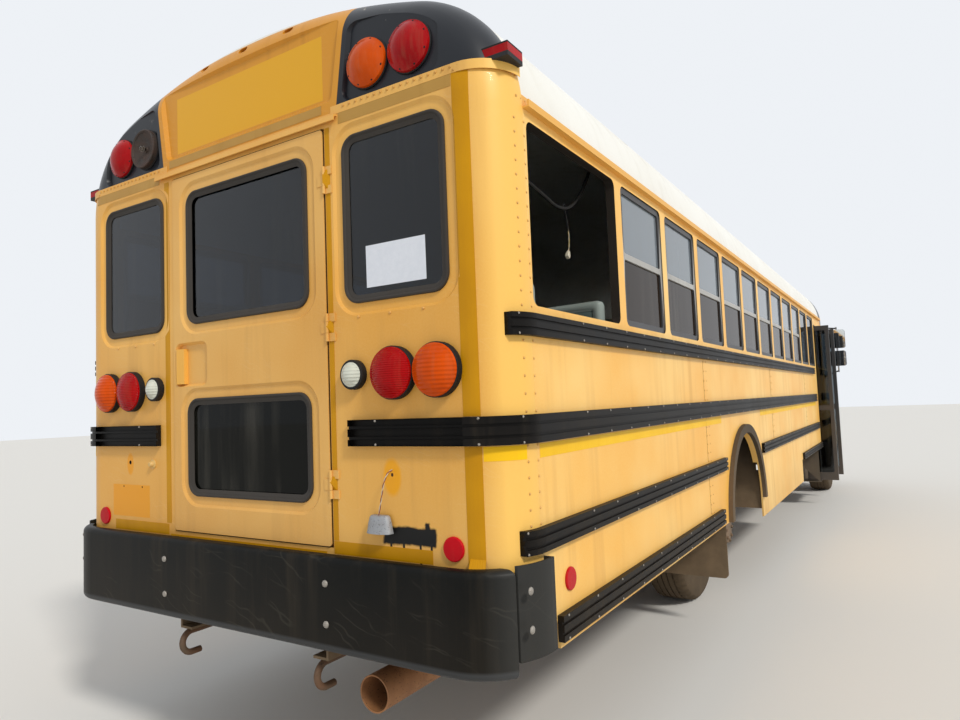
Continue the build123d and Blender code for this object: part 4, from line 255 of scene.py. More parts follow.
def head_rows_tree():
    """Input guides carry the attribute aim. Each head is a short cone, smooth shaded to look domed."""
    tree = bpy.data.node_groups.new("head_rows", "GeometryNodeTree")
    face = tree.interface
    face.new_socket("Guides", in_out="INPUT", socket_type="NodeSocketGeometry")
    for name, value in (("Pitch", 0.05), ("Radius", 0.005), ("Height", 0.002)):
        socket = face.new_socket(name, in_out="INPUT", socket_type="NodeSocketFloat")
        socket.default_value = value
    face.new_socket("Sides", in_out="INPUT", socket_type="NodeSocketInt").default_value = 8
    face.new_socket("Finish", in_out="INPUT", socket_type="NodeSocketMaterial")
    face.new_socket("Heads", in_out="OUTPUT", socket_type="NodeSocketGeometry")
    new, link = tree.nodes.new, tree.links.new
    inside, outside = new("NodeGroupInput"), new("NodeGroupOutput")
    to_curve = new("GeometryNodeMeshToCurve")
    resample = new("GeometryNodeResampleCurve")
    resample.mode = "LENGTH"
    aim = new("GeometryNodeInputNamedAttribute")
    aim.data_type = "FLOAT_VECTOR"
    aim.inputs["Name"].default_value = "aim"
    turn = new("FunctionNodeAlignRotationToVector")
    turn.axis = "Z"
    cone = new("GeometryNodeMeshCone")
    cone.fill_type = "NGON"
    cone.inputs["Side Segments"].default_value = 2
    taper = new("ShaderNodeMath")
    taper.operation = "MULTIPLY"
    taper.inputs[1].default_value = HEAD_TAPER
    on_points = new("GeometryNodeInstanceOnPoints")
    realize = new("GeometryNodeRealizeInstances")
    shade = new("GeometryNodeSetShadeSmooth")
    finish = new("GeometryNodeSetMaterial")
    link(inside.outputs["Guides"], to_curve.inputs["Mesh"])
    link(to_curve.outputs["Curve"], resample.inputs["Curve"])
    link(inside.outputs["Pitch"], resample.inputs["Length"])
    link(resample.outputs["Curve"], on_points.inputs["Points"])
    link(inside.outputs["Sides"], cone.inputs["Vertices"])
    link(inside.outputs["Radius"], cone.inputs["Radius Bottom"])
    link(inside.outputs["Radius"], taper.inputs[0])
    link(taper.outputs[0], cone.inputs["Radius Top"])
    link(inside.outputs["Height"], cone.inputs["Depth"])
    link(cone.outputs["Mesh"], on_points.inputs["Instance"])
    link(aim.outputs["Attribute"], turn.inputs["Vector"])
    link(turn.outputs["Rotation"], on_points.inputs["Rotation"])
    link(on_points.outputs["Instances"], realize.inputs["Geometry"])
    link(realize.outputs["Geometry"], shade.inputs["Geometry"])
    link(shade.outputs["Geometry"], finish.inputs["Geometry"])
    link(inside.outputs["Finish"], finish.inputs["Material"])
    link(finish.outputs["Geometry"], outside.inputs["Heads"])
    return tree


HEAD_ROWS = head_rows_tree()


def run_tree(piece, tree, **values):
    """Run a tree on a piece with inputs set by name, and give back the plain mesh."""
    modifier = piece.modifiers.new("rule", "NODES")
    modifier.node_group = tree
    for item in tree.interface.items_tree:
        if item.item_type == "SOCKET" and item.in_out == "INPUT" and item.name in values:
            modifier[item.identifier] = values[item.name]
    return applied(piece)


def head_rows(name, rows, pitch, radius, height, finish, sides=8):
    """Heads along rows. A row is a list of points and the direction that its heads point in."""
    verts = []
    edges = []
    aims = []
    for points, aim in rows:
        for i, point in enumerate(points):
            if i:
                edges.append((len(verts) - 1, len(verts)))
            verts.append(tuple(point))
            aims.append(aim[i] if isinstance(aim, list) else aim)
    mesh = bpy.data.meshes.new(name)
    mesh.from_pydata(verts, edges, [])
    attribute = mesh.attributes.new("aim", "FLOAT_VECTOR", "POINT")
    for place, aim in zip(attribute.data, aims):
        place.vector = aim
    made = run_tree(linked(name, mesh), HEAD_ROWS, Pitch=pitch, Radius=radius, Height=height, Sides=sides,
                    Finish=finish)
    print(name, len(made.data.polygons), "faces")
    return made


# %% [markdown]
# ## Effects that several finishes share
# Paint, rubber and steel here all carry the same dust, the same vertical rain streaks and the same
# small chips. Each effect is one shader node group that puts out a mask, and a material mixes it in.


# %% Groups for streaks, dust and mottling
def group_tree(name, inputs, outputs):
    tree = bpy.data.node_groups.new(name, "ShaderNodeTree")
    for socket, value in inputs:
        tree.interface.new_socket(socket, in_out="INPUT", socket_type="NodeSocketFloat").default_value = value
    for socket in outputs:
        tree.interface.new_socket(socket, in_out="OUTPUT", socket_type="NodeSocketFloat")
    return tree, tree.nodes.new("NodeGroupInput"), tree.nodes.new("NodeGroupOutput")


def math_node(tree, operation, a, b=None, clamp=False):
    node = tree.nodes.new("ShaderNodeMath")
    node.operation = operation
    node.use_clamp = clamp
    for place, value in ((0, a), (1, b)):
        if value is None:
            continue
        if isinstance(value, (int, float)):
            node.inputs[place].default_value = value
        else:
            tree.links.new(value, node.inputs[place])
    return node.outputs[0]


def noise_node(tree, vector, scale, detail=4.0, rough=0.55):
    noise = tree.nodes.new("ShaderNodeTexNoise")
    noise.inputs["Detail"].default_value = detail
    noise.inputs["Roughness"].default_value = rough
    if isinstance(scale, (int, float)):
        noise.inputs["Scale"].default_value = scale
    else:
        tree.links.new(scale, noise.inputs["Scale"])
    tree.links.new(vector, noise.inputs["Vector"])
    return noise.outputs["Fac"]


def object_vector(tree, scale=(1, 1, 1), turn=(0, 0, 0), shift=(0, 0, 0)):
    place = tree.nodes.new("ShaderNodeTexCoord")
    mapping = tree.nodes.new("ShaderNodeMapping")
    mapping.inputs["Scale"].default_value = scale
    mapping.inputs["Rotation"].default_value = turn
    mapping.inputs["Location"].default_value = shift
    tree.links.new(place.outputs["Object"], mapping.inputs["Vector"])
    return mapping.outputs["Vector"]


def object_axis(tree, axis):
    place = tree.nodes.new("ShaderNodeTexCoord")
    split = tree.nodes.new("ShaderNodeSeparateXYZ")
    tree.links.new(place.outputs["Object"], split.inputs[0])
    return split.outputs[axis]


def span(tree, value, low, high):
    """0 at low and 1 at high, clamped."""
    node = tree.nodes.new("ShaderNodeMapRange")
    tree.links.new(value, node.inputs["Value"])
    for name, bound in (("From Min", low), ("From Max", high)):
        if isinstance(bound, (int, float)):
            node.inputs[name].default_value = bound
        else:
            tree.links.new(bound, node.inputs[name])
    return node.outputs["Result"]


def mask_out(tree, inside, outside, mask):
    """Put a mask out of its group, times the group's own amount."""
    scaled = math_node(tree, "MULTIPLY", mask, inside.outputs["Amount"], True)
    tree.links.new(scaled, outside.inputs["Mask"])
    return tree


def streaks_group():
    """Rain streaks: noise drawn out along Z, with an uneven amount from place to place."""
    tree, inside, outside = group_tree("rain_streaks", (("Fineness", 9.0), ("Amount", 0.5)), ("Mask",))
    drawn = noise_node(tree, object_vector(tree, (1, 1, 0.07)), inside.outputs["Fineness"], 5.0, 0.6)
    patches = noise_node(tree, object_vector(tree), 1.3, 2.0)
    sharp = span(tree, drawn, 0.5, 0.72)
    mask = math_node(tree, "MULTIPLY", sharp, span(tree, patches, 0.35, 0.65))
    return mask_out(tree, inside, outside, mask)


def dust_group():
    """Road dust: thickest at the bottom of the bus, thinner upwards, broken up by noise."""
    inputs = (("Full below", 0.5), ("None above", 1.4), ("Amount", 0.6))
    tree, inside, outside = group_tree("road_dust", inputs, ("Mask",))
    height = object_axis(tree, "Z")
    fade = span(tree, height, inside.outputs["None above"], inside.outputs["Full below"])
    broken = noise_node(tree, object_vector(tree), 7.0, 6.0, 0.65)
    mask = math_node(tree, "MULTIPLY", fade, math_node(tree, "ADD", broken, 0.35, True))
    return mask_out(tree, inside, outside, mask)


def mottle_group():
    """Uneven fading: broad soft patches with a finer grain in them."""
    inputs = (("Patch size", 1.5), ("Grain size", 60.0))
    tree, inside, outside = group_tree("mottle", inputs, ("Patches", "Grain"))
    broad = noise_node(tree, object_vector(tree), inside.outputs["Patch size"], 3.0)
    fine = noise_node(tree, object_vector(tree, shift=(3.1, 0.7, 1.9)), inside.outputs["Grain size"], 3.0)
    tree.links.new(span(tree, broad, 0.32, 0.68), outside.inputs["Patches"])
    tree.links.new(span(tree, fine, 0.3, 0.7), outside.inputs["Grain"])
    return tree


def chips_group():
    """Small chips and scuffs, more of them where the amount is high."""
    tree, inside, outside = group_tree("chips", (("Size", 40.0), ("Amount", 0.3)), ("Mask",))
    fine = noise_node(tree, object_vector(tree, (1, 1, 1.4)), inside.outputs["Size"], 6.0, 0.7)
    edge = math_node(tree, "SUBTRACT", 0.78, math_node(tree, "MULTIPLY", inside.outputs["Amount"], 0.2))
    over = math_node(tree, "SUBTRACT", fine, edge)
    tree.links.new(math_node(tree, "MULTIPLY", over, 40.0, True), outside.inputs["Mask"])
    return tree


def scratches_group():
    """Scratches: thin wandering lines, from the crests of two crossed waves."""
    tree, inside, outside = group_tree("scratches", (("Spacing", 14.0), ("Amount", 0.5)), ("Mask",))
    lines = None
    for turn in ((0.2, 0.9, 0.4), (1.3, 0.3, 2.1)):
        wave = tree.nodes.new("ShaderNodeTexWave")
        wave.inputs["Distortion"].default_value = 9.0
        wave.inputs["Detail"].default_value = 3.0
        wave.inputs["Detail Scale"].default_value = 0.7
        tree.links.new(inside.outputs["Spacing"], wave.inputs["Scale"])
        tree.links.new(object_vector(tree, turn=turn), wave.inputs["Vector"])
        crest = span(tree, wave.outputs["Fac"], 0.985, 1.0)
        lines = crest if lines is None else math_node(tree, "MAXIMUM", lines, crest)
    broken = span(tree, noise_node(tree, object_vector(tree), 5.0, 3.0), 0.5, 0.62)
    return mask_out(tree, inside, outside, math_node(tree, "MULTIPLY", lines, broken))


STREAKS = streaks_group()
DUST = dust_group()
MOTTLE = mottle_group()
CHIPS = chips_group()
SCRATCHES = scratches_group()


# %% [markdown]
# ## How a finish is put together
# Each material starts as a plain Principled surface. Layers are then laid over its colour, one mask at
# a time, as dirt lies over paint. Roughness follows the same masks, so that dust also takes the shine.


# %% Material helpers
RAGGED_SCALE = 18.0
FACE_AXES = ("Y", "Z")


class Finish:
    """A material that is built up in layers."""

    def __init__(self, name, color, roughness, metallic=0.0, specular=0.5, coat=0.0):
        self.material = bpy.data.materials.new(name)
        self.material.use_nodes = True
        self.tree = self.material.node_tree
        self.shader = self.tree.nodes["Principled BSDF"]
        self.shader.inputs["Metallic"].default_value = metallic
        self.shader.inputs["Specular IOR Level"].default_value = specular
        self.shader.inputs["Coat Weight"].default_value = coat
        self.shader.inputs["Base Color"].default_value = (*color, 1)
        self.shader.inputs["Roughness"].default_value = roughness
        self.color = None
        self.start = color
        self.rough = None
        self.rough_start = roughness
        self.height = None

    def effect(self, group, output="Mask", **values):
        node = self.tree.nodes.new("ShaderNodeGroup")
        node.node_tree = group
        for name, value in values.items():
            node.inputs[name.replace("_", " ")].default_value = value
        return node.outputs[output]

    def over(self, mask, color, roughness=None, share=1.0):
        """Lay a colour over what is there, where the mask is 1."""
        if share != 1.0:
            mask = math_node(self.tree, "MULTIPLY", mask, share, True)
        mix = self.tree.nodes.new("ShaderNodeMix")
        mix.data_type = "RGBA"
        self.tree.links.new(mask, mix.inputs["Factor"])
        if self.color is None:
            mix.inputs["A"].default_value = (*self.start, 1)
        else:
            self.tree.links.new(self.color, mix.inputs["A"])
        mix.inputs["B"].default_value = (*color, 1)
        self.color = mix.outputs["Result"]
        if roughness is not None:
            blend = self.tree.nodes.new("ShaderNodeMix")
            self.tree.links.new(mask, blend.inputs["Factor"])
            if self.rough is None:
                blend.inputs["A"].default_value = self.rough_start
            else:
                self.tree.links.new(self.rough, blend.inputs["A"])
            blend.inputs["B"].default_value = roughness
            self.rough = blend.outputs["Result"]
        return self

    def relief(self, value, strength, distance=0.002):
        """Bump from a height that changes over the surface."""
        bump = self.tree.nodes.new("ShaderNodeBump")
        bump.inputs["Strength"].default_value = strength
        bump.inputs["Distance"].default_value = distance
        self.tree.links.new(value, bump.inputs["Height"])
        if self.height is not None:
            self.tree.links.new(self.height, bump.inputs["Normal"])
        self.height = bump.outputs["Normal"]
        return self

    def grain(self, scale, detail, strength, distance=0.002, rough=0.55, stretch=(1, 1, 1)):
        """Bump from noise, as on dust, castings or rolled sheet."""
        vector = object_vector(self.tree, stretch)
        return self.relief(noise_node(self.tree, vector, scale, detail, rough), strength, distance)

    def math(self, operation, a, b=None, clamp=False):
        return math_node(self.tree, operation, a, b, clamp)

    def axis(self, name):
        return object_axis(self.tree, name)

    def ragged(self, value, wobble):
        """Push a distance to and fro by noise, so that its edge isn't straight."""
        noise = noise_node(self.tree, object_vector(self.tree), RAGGED_SCALE, 5.0, 0.6)
        return self.math("ADD", value, self.math("MULTIPLY", self.math("SUBTRACT", noise, 0.5), wobble))

    def box_mask(self, centre, half, soft=0.004, wobble=0.0):
        """1 inside a rectangle on a face of the bus, with soft and, if wanted, ragged edges."""
        mask = None
        for axis, middle, reach in zip(FACE_AXES, centre, half):
            away = self.math("ABSOLUTE", self.math("SUBTRACT", self.axis(axis), middle))
            if wobble:
                away = self.ragged(away, wobble)
            inside = span(self.tree, away, reach + soft, reach)
            mask = inside if mask is None else self.math("MULTIPLY", mask, inside)
        return mask

    def oval_mask(self, centre, half, soft=0.15, wobble=0.0):
        """1 inside an ellipse on a face of the bus. Its soft edge is a share of its radius."""
        total = None
        for axis, middle, reach in zip(FACE_AXES, centre, half):
            share = self.math("DIVIDE", self.math("SUBTRACT", self.axis(axis), middle), reach)
            square = self.math("MULTIPLY", share, share)
            total = square if total is None else self.math("ADD", total, square)
        if wobble:
            total = self.ragged(total, wobble)
        return span(self.tree, total, 1.0 + soft, 1.0)

    def done(self):
        layered = ((self.color, "Base Color"), (self.rough, "Roughness"), (self.height, "Normal"))
        for output, socket in layered:
            if output is not None:
                self.tree.links.new(output, self.shader.inputs[socket])
        return self.material


# %% [markdown]
# ## Colours and paints
# The yellow is not one colour any more. The sun has bleached the right side almost to cream, the back
# is a dusty tan yellow and the cap keeps a deeper tone. One function mixes all of these paints, so that
# they share the same ageing, and the callers only say how far it has gone.


# %% Paints
def tone(red, green, blue):
    """A screen colour, 0 to 255, as the linear numbers that shaders use."""
    shares = [value / 255 for value in (red, green, blue)]
    return tuple(s / 12.92 if s <= 0.04045 else ((s + 0.055) / 1.055) ** 2.4 for s in shares)


DUST_TONE = tone(158, 134, 104)
RUST_TONE = tone(112, 62, 32)
DARK_RUST_TONE = tone(58, 34, 22)
GRIME_TONE = tone(66, 54, 42)


def bus_paint(name, base, bleached, worn, fade=0.7, streaks=0.45, dust=0.55, dust_top=1.3, rough=0.4):
    paint = Finish(name, base, rough, specular=0.3, coat=0.03)
    paint.over(paint.effect(MOTTLE, "Patches", Patch_size=1.2, Grain_size=70.0), bleached, rough + 0.08, fade)
    paint.over(paint.effect(MOTTLE, "Grain", Patch_size=3.0, Grain_size=150.0), bleached, None, 0.25)
    paint.over(paint.effect(STREAKS, Fineness=11.0, Amount=streaks), worn, rough + 0.15)
    paint.over(paint.effect(SCRATCHES, Spacing=9.0, Amount=0.1), tone(240, 216, 170), rough + 0.1)
    paint.over(paint.effect(CHIPS, Size=26.0, Amount=0.15), GRIME_TONE, 0.8)
    paint.over(paint.effect(DUST, Full_below=0.55, None_above=dust_top, Amount=dust), DUST_TONE, 0.85)
    paint.grain(2.6, 2.0, 0.12, 0.01, stretch=(1, 1, 0.6))
    return paint.grain(420.0, 2.0, 0.06, 0.0006)


def dull_black(name, base, rough=0.5, dust=0.5, dust_top=1.6, specular=0.22):
    paint = Finish(name, base, rough, specular=specular)
    patches = paint.effect(MOTTLE, "Patches", Patch_size=2.5, Grain_size=90.0)
    paint.over(patches, tone(46, 41, 35), rough + 0.2, 0.25)
    paint.over(paint.effect(STREAKS, Fineness=14.0, Amount=0.22), tone(84, 74, 60), 0.8)
    paint.over(paint.effect(CHIPS, Size=34.0, Amount=0.2), tone(112, 102, 88), 0.7)
    paint.over(paint.effect(DUST, Full_below=0.5, None_above=dust_top, Amount=dust), DUST_TONE, 0.9)
    return paint.grain(160.0, 4.0, 0.15, 0.001)


def rusty(name, base, rust=0.7, scale=9.0, metallic=0.2, dust=0.3):
    steel = Finish(name, base, 0.62, metallic=metallic)
    steel.over(steel.effect(MOTTLE, "Patches", Patch_size=scale, Grain_size=scale * 9), RUST_TONE, 0.85, rust)
    steel.over(steel.effect(CHIPS, Size=scale * 6, Amount=0.9), DARK_RUST_TONE, 0.9)
    steel.over(steel.effect(DUST, Full_below=0.3, None_above=1.0, Amount=dust), DUST_TONE, 0.9)
    return steel.grain(scale * 22, 6.0, 0.45, 0.002, rough=0.7)


def glass(name, color, roughness=0.03, clearness=1.0, specular=0.5):
    pane = Finish(name, color, roughness, specular=specular)
    pane.shader.inputs["Transmission Weight"].default_value = clearness
    pane.shader.inputs["IOR"].default_value = 1.45
    film = pane.effect(STREAKS, Fineness=7.0, Amount=0.35)
    pane.over(film, tone(150, 145, 132), 0.32)
    return pane.grain(1.4, 1.0, 0.04, 0.01)


side_paint = bus_paint("sun_bleached_side_paint", tone(246, 178, 60), tone(255, 216, 136), tone(212, 152, 72),
                       fade=0.85, dust=0.3, dust_top=0.9).done()
left_paint = bus_paint("left_side_paint", tone(226, 156, 46), tone(236, 184, 92), tone(178, 126, 56),
                       fade=0.6, dust=0.4).done()
rear_paint = bus_paint("rear_panel_paint", tone(226, 162, 66), tone(238, 190, 106), tone(192, 140, 72),
                       fade=0.75, dust=0.25, dust_top=1.1)
door_paint = bus_paint("rear_door_paint", tone(222, 162, 74), tone(236, 190, 112), tone(190, 140, 76),
                       fade=0.8, dust=0.2)
nose_paint = bus_paint("nose_paint", tone(228, 160, 46), tone(240, 190, 96), tone(182, 132, 60),
                       fade=0.7, dust=0.5, dust_top=1.1).done()
cap_paint = bus_paint("rear_cap_paint", tone(212, 142, 28), tone(216, 154, 54), tone(172, 112, 34),
                      fade=0.5, dust=0.0)
roof_paint = bus_paint("white_roof_paint", tone(244, 244, 238), tone(226, 222, 210), tone(186, 178, 160),
                       fade=0.4, streaks=0.3, dust=0.0, rough=0.45)
# The roof's drip rails are yellow: they lie below a level and outside a distance from the middle
DRIP_TOP_Z = 2.536
DRIP_INNER_Y = 1.200
low_enough = span(roof_paint.tree, roof_paint.axis("Z"), DRIP_TOP_Z + 0.0005, DRIP_TOP_Z - 0.0005)
far_enough = span(roof_paint.tree, roof_paint.math("ABSOLUTE", roof_paint.axis("Y")),
                  DRIP_INNER_Y, DRIP_INNER_Y + 0.003)
roof_paint.over(roof_paint.math("MULTIPLY", low_enough, far_enough), tone(236, 178, 84), 0.45)
roof_paint = roof_paint.done()
rail_paint = dull_black("rub_rail_paint", tone(14, 12, 11), 0.42, dust=0.06, dust_top=0.9, specular=0.12)
bumper_paint = dull_black("bumper_paint", tone(9, 12, 12), 0.4, dust=0.04, dust_top=0.95, specular=0.12)
chassis_paint = dull_black("chassis_paint", tone(46, 43, 40), 0.7, dust=0.8, dust_top=1.2).done()
frame_aluminium = dull_black("dark_window_frame", tone(52, 52, 54), 0.4, dust=0.2, specular=0.6).done()
rubber = dull_black("black_rubber", tone(34, 33, 32), 0.72, dust=0.6).done()
floor_rubber = dull_black("ribbed_floor_rubber", tone(78, 76, 72), 0.7, dust=0.3).done()
moulded_plastic = dull_black("moulded_black_plastic", tone(42, 42, 44), 0.55, dust=0.3).done()
rusty_steel = rusty("rusty_steel", tone(72, 56, 44)).done()
pipe_rust = rusty("rusty_tailpipe", tone(158, 104, 58), 0.5, 14.0).done()
wheel_paint = rusty("worn_wheel_paint", tone(84, 78, 70), 0.45, 7.0, 0.1, 0.6).done()
engine_iron = rusty("oily_engine_iron", tone(50, 48, 46), 0.35, 12.0, 0.3).done()
zinc = rusty("dull_zinc", tone(150, 148, 142), 0.12, 18.0, 0.6, 0.2).done()
tinted = glass("tinted_window_glass", tone(104, 114, 120)).done()
rear_tinted = glass("dark_rear_glass", tone(66, 80, 98)).done()
clear = glass("clear_windshield_glass", tone(214, 224, 222)).done()
tyre_finish = dull_black("tyre_rubber", tone(30, 29, 28), 0.8, dust=0.3, dust_top=1.2, specular=0.15).done()
print("paints mixed:", len(bpy.data.materials))

# %% [markdown]
# ## Marks on the back
# Some marks sit at known places: the strong amber that a licence plate once covered, a black touch-up
# patch with drips beside it, and the slanted edge between yellow and black on the cap. Masks measured on
# Object coordinates place them, so they stay put in every view and at every pose.

# %% Masks on the rear wall, cap and rails
PLATE_SPOT = ((0.804, 1.1185), (0.144, 0.0705))
amber = tone(234, 156, 12)
# Painted highlight: the rounded corner is made lighter where the sun falls on it
sunlit_corner_highlight = span(rear_paint.tree, object_axis(rear_paint.tree, "X"), REAR_X + 0.003, REAR_X + 0.045)
rear_paint.over(sunlit_corner_highlight, tone(254, 204, 104), 0.42, 0.75)
rear_paint.over(rear_paint.box_mask(*PLATE_SPOT, soft=0.003, wobble=0.004), amber, 0.35)
rear_paint.over(rear_paint.oval_mask((0.809, 1.285), (0.022, 0.044), 0.6, wobble=0.3), amber, 0.35)
halo = rear_paint.oval_mask((-0.748, 1.262), (0.032, 0.052), 0.9, wobble=0.4)
rear_paint.over(halo, tone(240, 166, 22), 0.4)
rear_paint.over(rear_paint.oval_mask((-0.748, 1.270), (0.005, 0.006), 0.3), tone(70, 44, 20), 0.7)
black_spray = tone(9, 8, 8)
rear_paint.over(rear_paint.box_mask((-0.814, 1.068), (0.106, 0.026), 0.008, wobble=0.022), black_spray, 0.6)
rear_paint.over(rear_paint.box_mask((-0.890, 1.098), (0.006, 0.014), 0.006, wobble=0.03), black_spray, 0.6)
SPRAY_LOW_Z = 1.050
# y and low end of each run of paint below the patch
SPRAY_RUNS = ((-0.735, 0.985), (-0.790, 1.000), (-0.860, 0.965), (-0.905, 1.010))
for run_y, run_low in SPRAY_RUNS:
    middle = (run_y, (run_low + SPRAY_LOW_Z) / 2)
    reach = (0.0035, (SPRAY_LOW_Z - run_low) / 2)
    rear_paint.over(rear_paint.box_mask(middle, reach, 0.002, wobble=0.002), black_spray, 0.5)
rear_paint = rear_paint.done()

EDGE_LOW = (0.530, 2.600)
EDGE_HIGH = (0.590, 3.010)
slope = (EDGE_HIGH[0] - EDGE_LOW[0]) / (EDGE_HIGH[1] - EDGE_LOW[1])
tree = cap_paint.tree
edge_y = math_node(tree, "ADD", math_node(tree, "MULTIPLY", math_node(
    tree, "SUBTRACT", object_axis(tree, "Z"), EDGE_LOW[1]), slope), EDGE_LOW[0])
past_edge = math_node(tree, "SUBTRACT", math_node(tree, "ABSOLUTE", object_axis(tree, "Y"), None), edge_y)
beside_cap = math_node(tree, "MULTIPLY", past_edge, 900.0, True)
on_crown = span(tree, object_axis(tree, "Z"), 3.030, 3.034)
panel_mask = math_node(tree, "SUBTRACT", beside_cap, on_crown, True)
cap_paint.over(cap_paint.box_mask((0.0, 2.795), (0.450, 0.125), 0.002), tone(228, 168, 26), 0.4)
cap_paint.over(on_crown, tone(224, 222, 212), 0.5)
cap_paint.over(panel_mask, tone(27, 30, 36), 0.34)
peel = math_node(tree, "MULTIPLY", panel_mask, span(tree, noise_node(
    tree, object_vector(tree), 11.0, 7.0, 0.72), 0.60, 0.64))
high_peel = math_node(tree, "MULTIPLY", peel, span(tree, object_axis(tree, "Z"), 2.84, 2.96))
cap_paint.over(high_peel, tone(172, 168, 160), 0.8)
cap_paint = cap_paint.done()

rail_paint = rail_paint.done()
# The bumper carries grey scratches, and it turns grey at its corners and along its rolled lower edge
bumper_paint.over(bumper_paint.effect(SCRATCHES, Spacing=4.0, Amount=0.13), tone(104, 100, 88), 0.7)
at_corner = span(bumper_paint.tree, bumper_paint.math("ABSOLUTE", bumper_paint.axis("Y")), 1.12, 1.20)
bumper_paint.over(at_corner, tone(70, 70, 68), 0.4, 0.5)
low_roll = span(bumper_paint.tree, bumper_paint.axis("Z"), 0.694, 0.684)
bumper_paint.over(low_roll, tone(82, 84, 86), 0.45, 0.5)
bumper_paint = bumper_paint.done()
LEVER_SPOT = ((0.416, 1.710), (0.0305, 0.078))
door_paint.over(door_paint.box_mask(*LEVER_SPOT, soft=0.001), tone(240, 178, 66), 0.4, 0.6)
door_paint = door_paint.done()

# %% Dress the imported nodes
DRESS = {
    "rear_wall": rear_paint, "rear_cap": cap_paint, "rear_door": door_paint, "rear_door_hinges": door_paint,
    "rear_door_glass": rear_tinted, "side_wall_right": side_paint, "side_wall_left": left_paint,
    "side_sashes": frame_aluminium, "body_glass": tinted, "roof": roof_paint, "roof_hatch": roof_paint,
    "front_cap": cap_paint, "front_wall": nose_paint, "windshield": clear, "rub_rails": rail_paint,
    "rear_bumper": bumper_paint, "front_bumper": bumper_paint, "chassis_frame": chassis_paint,
    "floor": floor_rubber, "wheelhouses": chassis_paint, "arch_rubber": rubber,
    "rear_tyre_right": tyre_finish, "rear_tyres_left": tyre_finish, "front_tyre_right": tyre_finish,
    "front_tyre_left": tyre_finish, "rear_wheel_right": wheel_paint, "rear_wheels_left": wheel_paint,
    "front_wheel_right": wheel_paint, "front_wheel_left": wheel_paint, "rear_axle": rusty_steel,
    "front_axle": rusty_steel, "knuckle_left": rusty_steel, "knuckle_right": rusty_steel,
    "tie_rod": rusty_steel, "leaf_springs": rusty_steel, "engine": engine_iron, "drive_shaft": chassis_paint,
    "fuel_tank": chassis_paint, "exhaust": pipe_rust, "tow_hooks": rusty_steel, "seat_frames": chassis_paint,
    "seat_cushions": moulded_plastic, "dashboard": moulded_plastic, "step_well": floor_rubber,
    "entrance_leaf_rear": frame_aluminium, "entrance_leaf_front": frame_aluminium,
    "entrance_glass_rear": tinted, "entrance_glass_front": tinted, "hood": nose_paint,
    "grille": moulded_plastic, "headlamps": zinc, "rear_lamps": rubber, "licence_wire": rubber,
    "licence_lamp": zinc,
    "mirrors": moulded_plastic, "stop_arm": moulded_plastic, "stop_arm_base": moulded_plastic,
    "front_lamps": moulded_plastic, "loose_conduit": moulded_plastic, "loose_tail": moulded_plastic,
}
for name, node in nodes.items():
    painted(node, DRESS[name])
print("nodes dressed:", len(nodes))


# %% [markdown]
# ## Seating small pieces on the skin
# Tapes, rivets and lamps have to touch the bodywork wherever it is flat, rounded or pressed in. A search
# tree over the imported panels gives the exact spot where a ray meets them, so nothing floats or sinks.


# %% Find the skin
def skin_tree(*names):
    work = bmesh.new()
    for name in names:
        work.from_mesh(nodes[name].data)
    tree = BVHTree.FromBMesh(work)
    work.free()
    return tree


SKIN = skin_tree("rear_wall", "rear_cap", "rear_door", "side_wall_left", "side_wall_right", "roof",
                 "front_cap", "front_wall", "rub_rails", "rear_bumper", "hood", "front_bumper")


def on_skin(point, aim, reach=0.030):
    """The spot of the skin that a ray meets, looking back along the direction that the spot faces."""
    aim = Vector(aim).normalized()
    spot = SKIN.ray_cast(Vector(point) + aim * reach, -aim, reach * 2)[0]
    return Vector(point) if spot is None else spot


CORNER_START = HALF_WIDTH - CORNER_R
CORNER_END = CORNER_START + CORNER_R * math.pi / 2
# What is added to an x from the rear face, on a side, so that it goes on the way round the corner
SIDE_FROM = CORNER_END - CORNER_R


def round_back(distance, side, z):
    """A place on the back, measured from its middle round the corner, and the way that it faces."""
    if distance <= CORNER_START:
        place, aim = (REAR_X, distance), (-1.0, 0.0)
    elif distance < CORNER_END:
        turn = (distance - CORNER_START) / CORNER_R
        aim = (-math.cos(turn), math.sin(turn))
        place = (REAR_X + CORNER_R + CORNER_R * aim[0], CORNER_START + CORNER_R * aim[1])
    else:
        place, aim = (REAR_X + CORNER_R + distance - CORNER_END, HALF_WIDTH), (0.0, 1.0)
    return Vector((place[0], side * place[1], z)), Vector((aim[0], side * aim[1], 0))


def steps_between(low, high, pitch):
    count = max(1, round((high - low) / pitch))
    return [low + (high - low) * i / count for i in range(count + 1)]


def lofted(name, sections, closed=False):
    """Skin over a row of closed sections with the same number of points, capped at both ends."""
    verts = [point for section in sections for point in section]
    size = len(sections[0])
    faces = []
    for i in range(len(sections) if closed else len(sections) - 1):
        j = (i + 1) % len(sections)
        for k in range(size):
            n = (k + 1) % size
            faces.append((i * size + k, j * size + k, j * size + n, i * size + n))
    if not closed:
        faces.append(tuple(range(size)))
        faces.append(tuple(range(len(verts) - size, len(verts))))
    return outward(mesh_object(name, verts, faces))


def spun(name, profile, centre, aim, sides=48, angle=35):
    """Turn a profile of (radius, height) about a line through the centre, and close both ends."""
    aim = Vector(aim).normalized()
    across = aim.orthogonal().normalized()
    upright = aim.cross(across)
    sections = []
    for radius, height in profile:
        ring = []
        for k in range(sides):
            turn = 2 * math.pi * k / sides
            out = across * math.cos(turn) + upright * math.sin(turn)
            ring.append(Vector(centre) + aim * height + out * radius)
        sections.append(ring)
    return smoothed(lofted(name, sections), angle)


# %% [markdown]
# ## Reflective tape
# Wide reflective strips frame the emergency door and the panels beside it, up to the corner. Most of
# them have gone a dirty gold, and the strip under the side rail is still bright. Each is a thin slab
# that follows the skin, with a fine honeycomb in its relief.

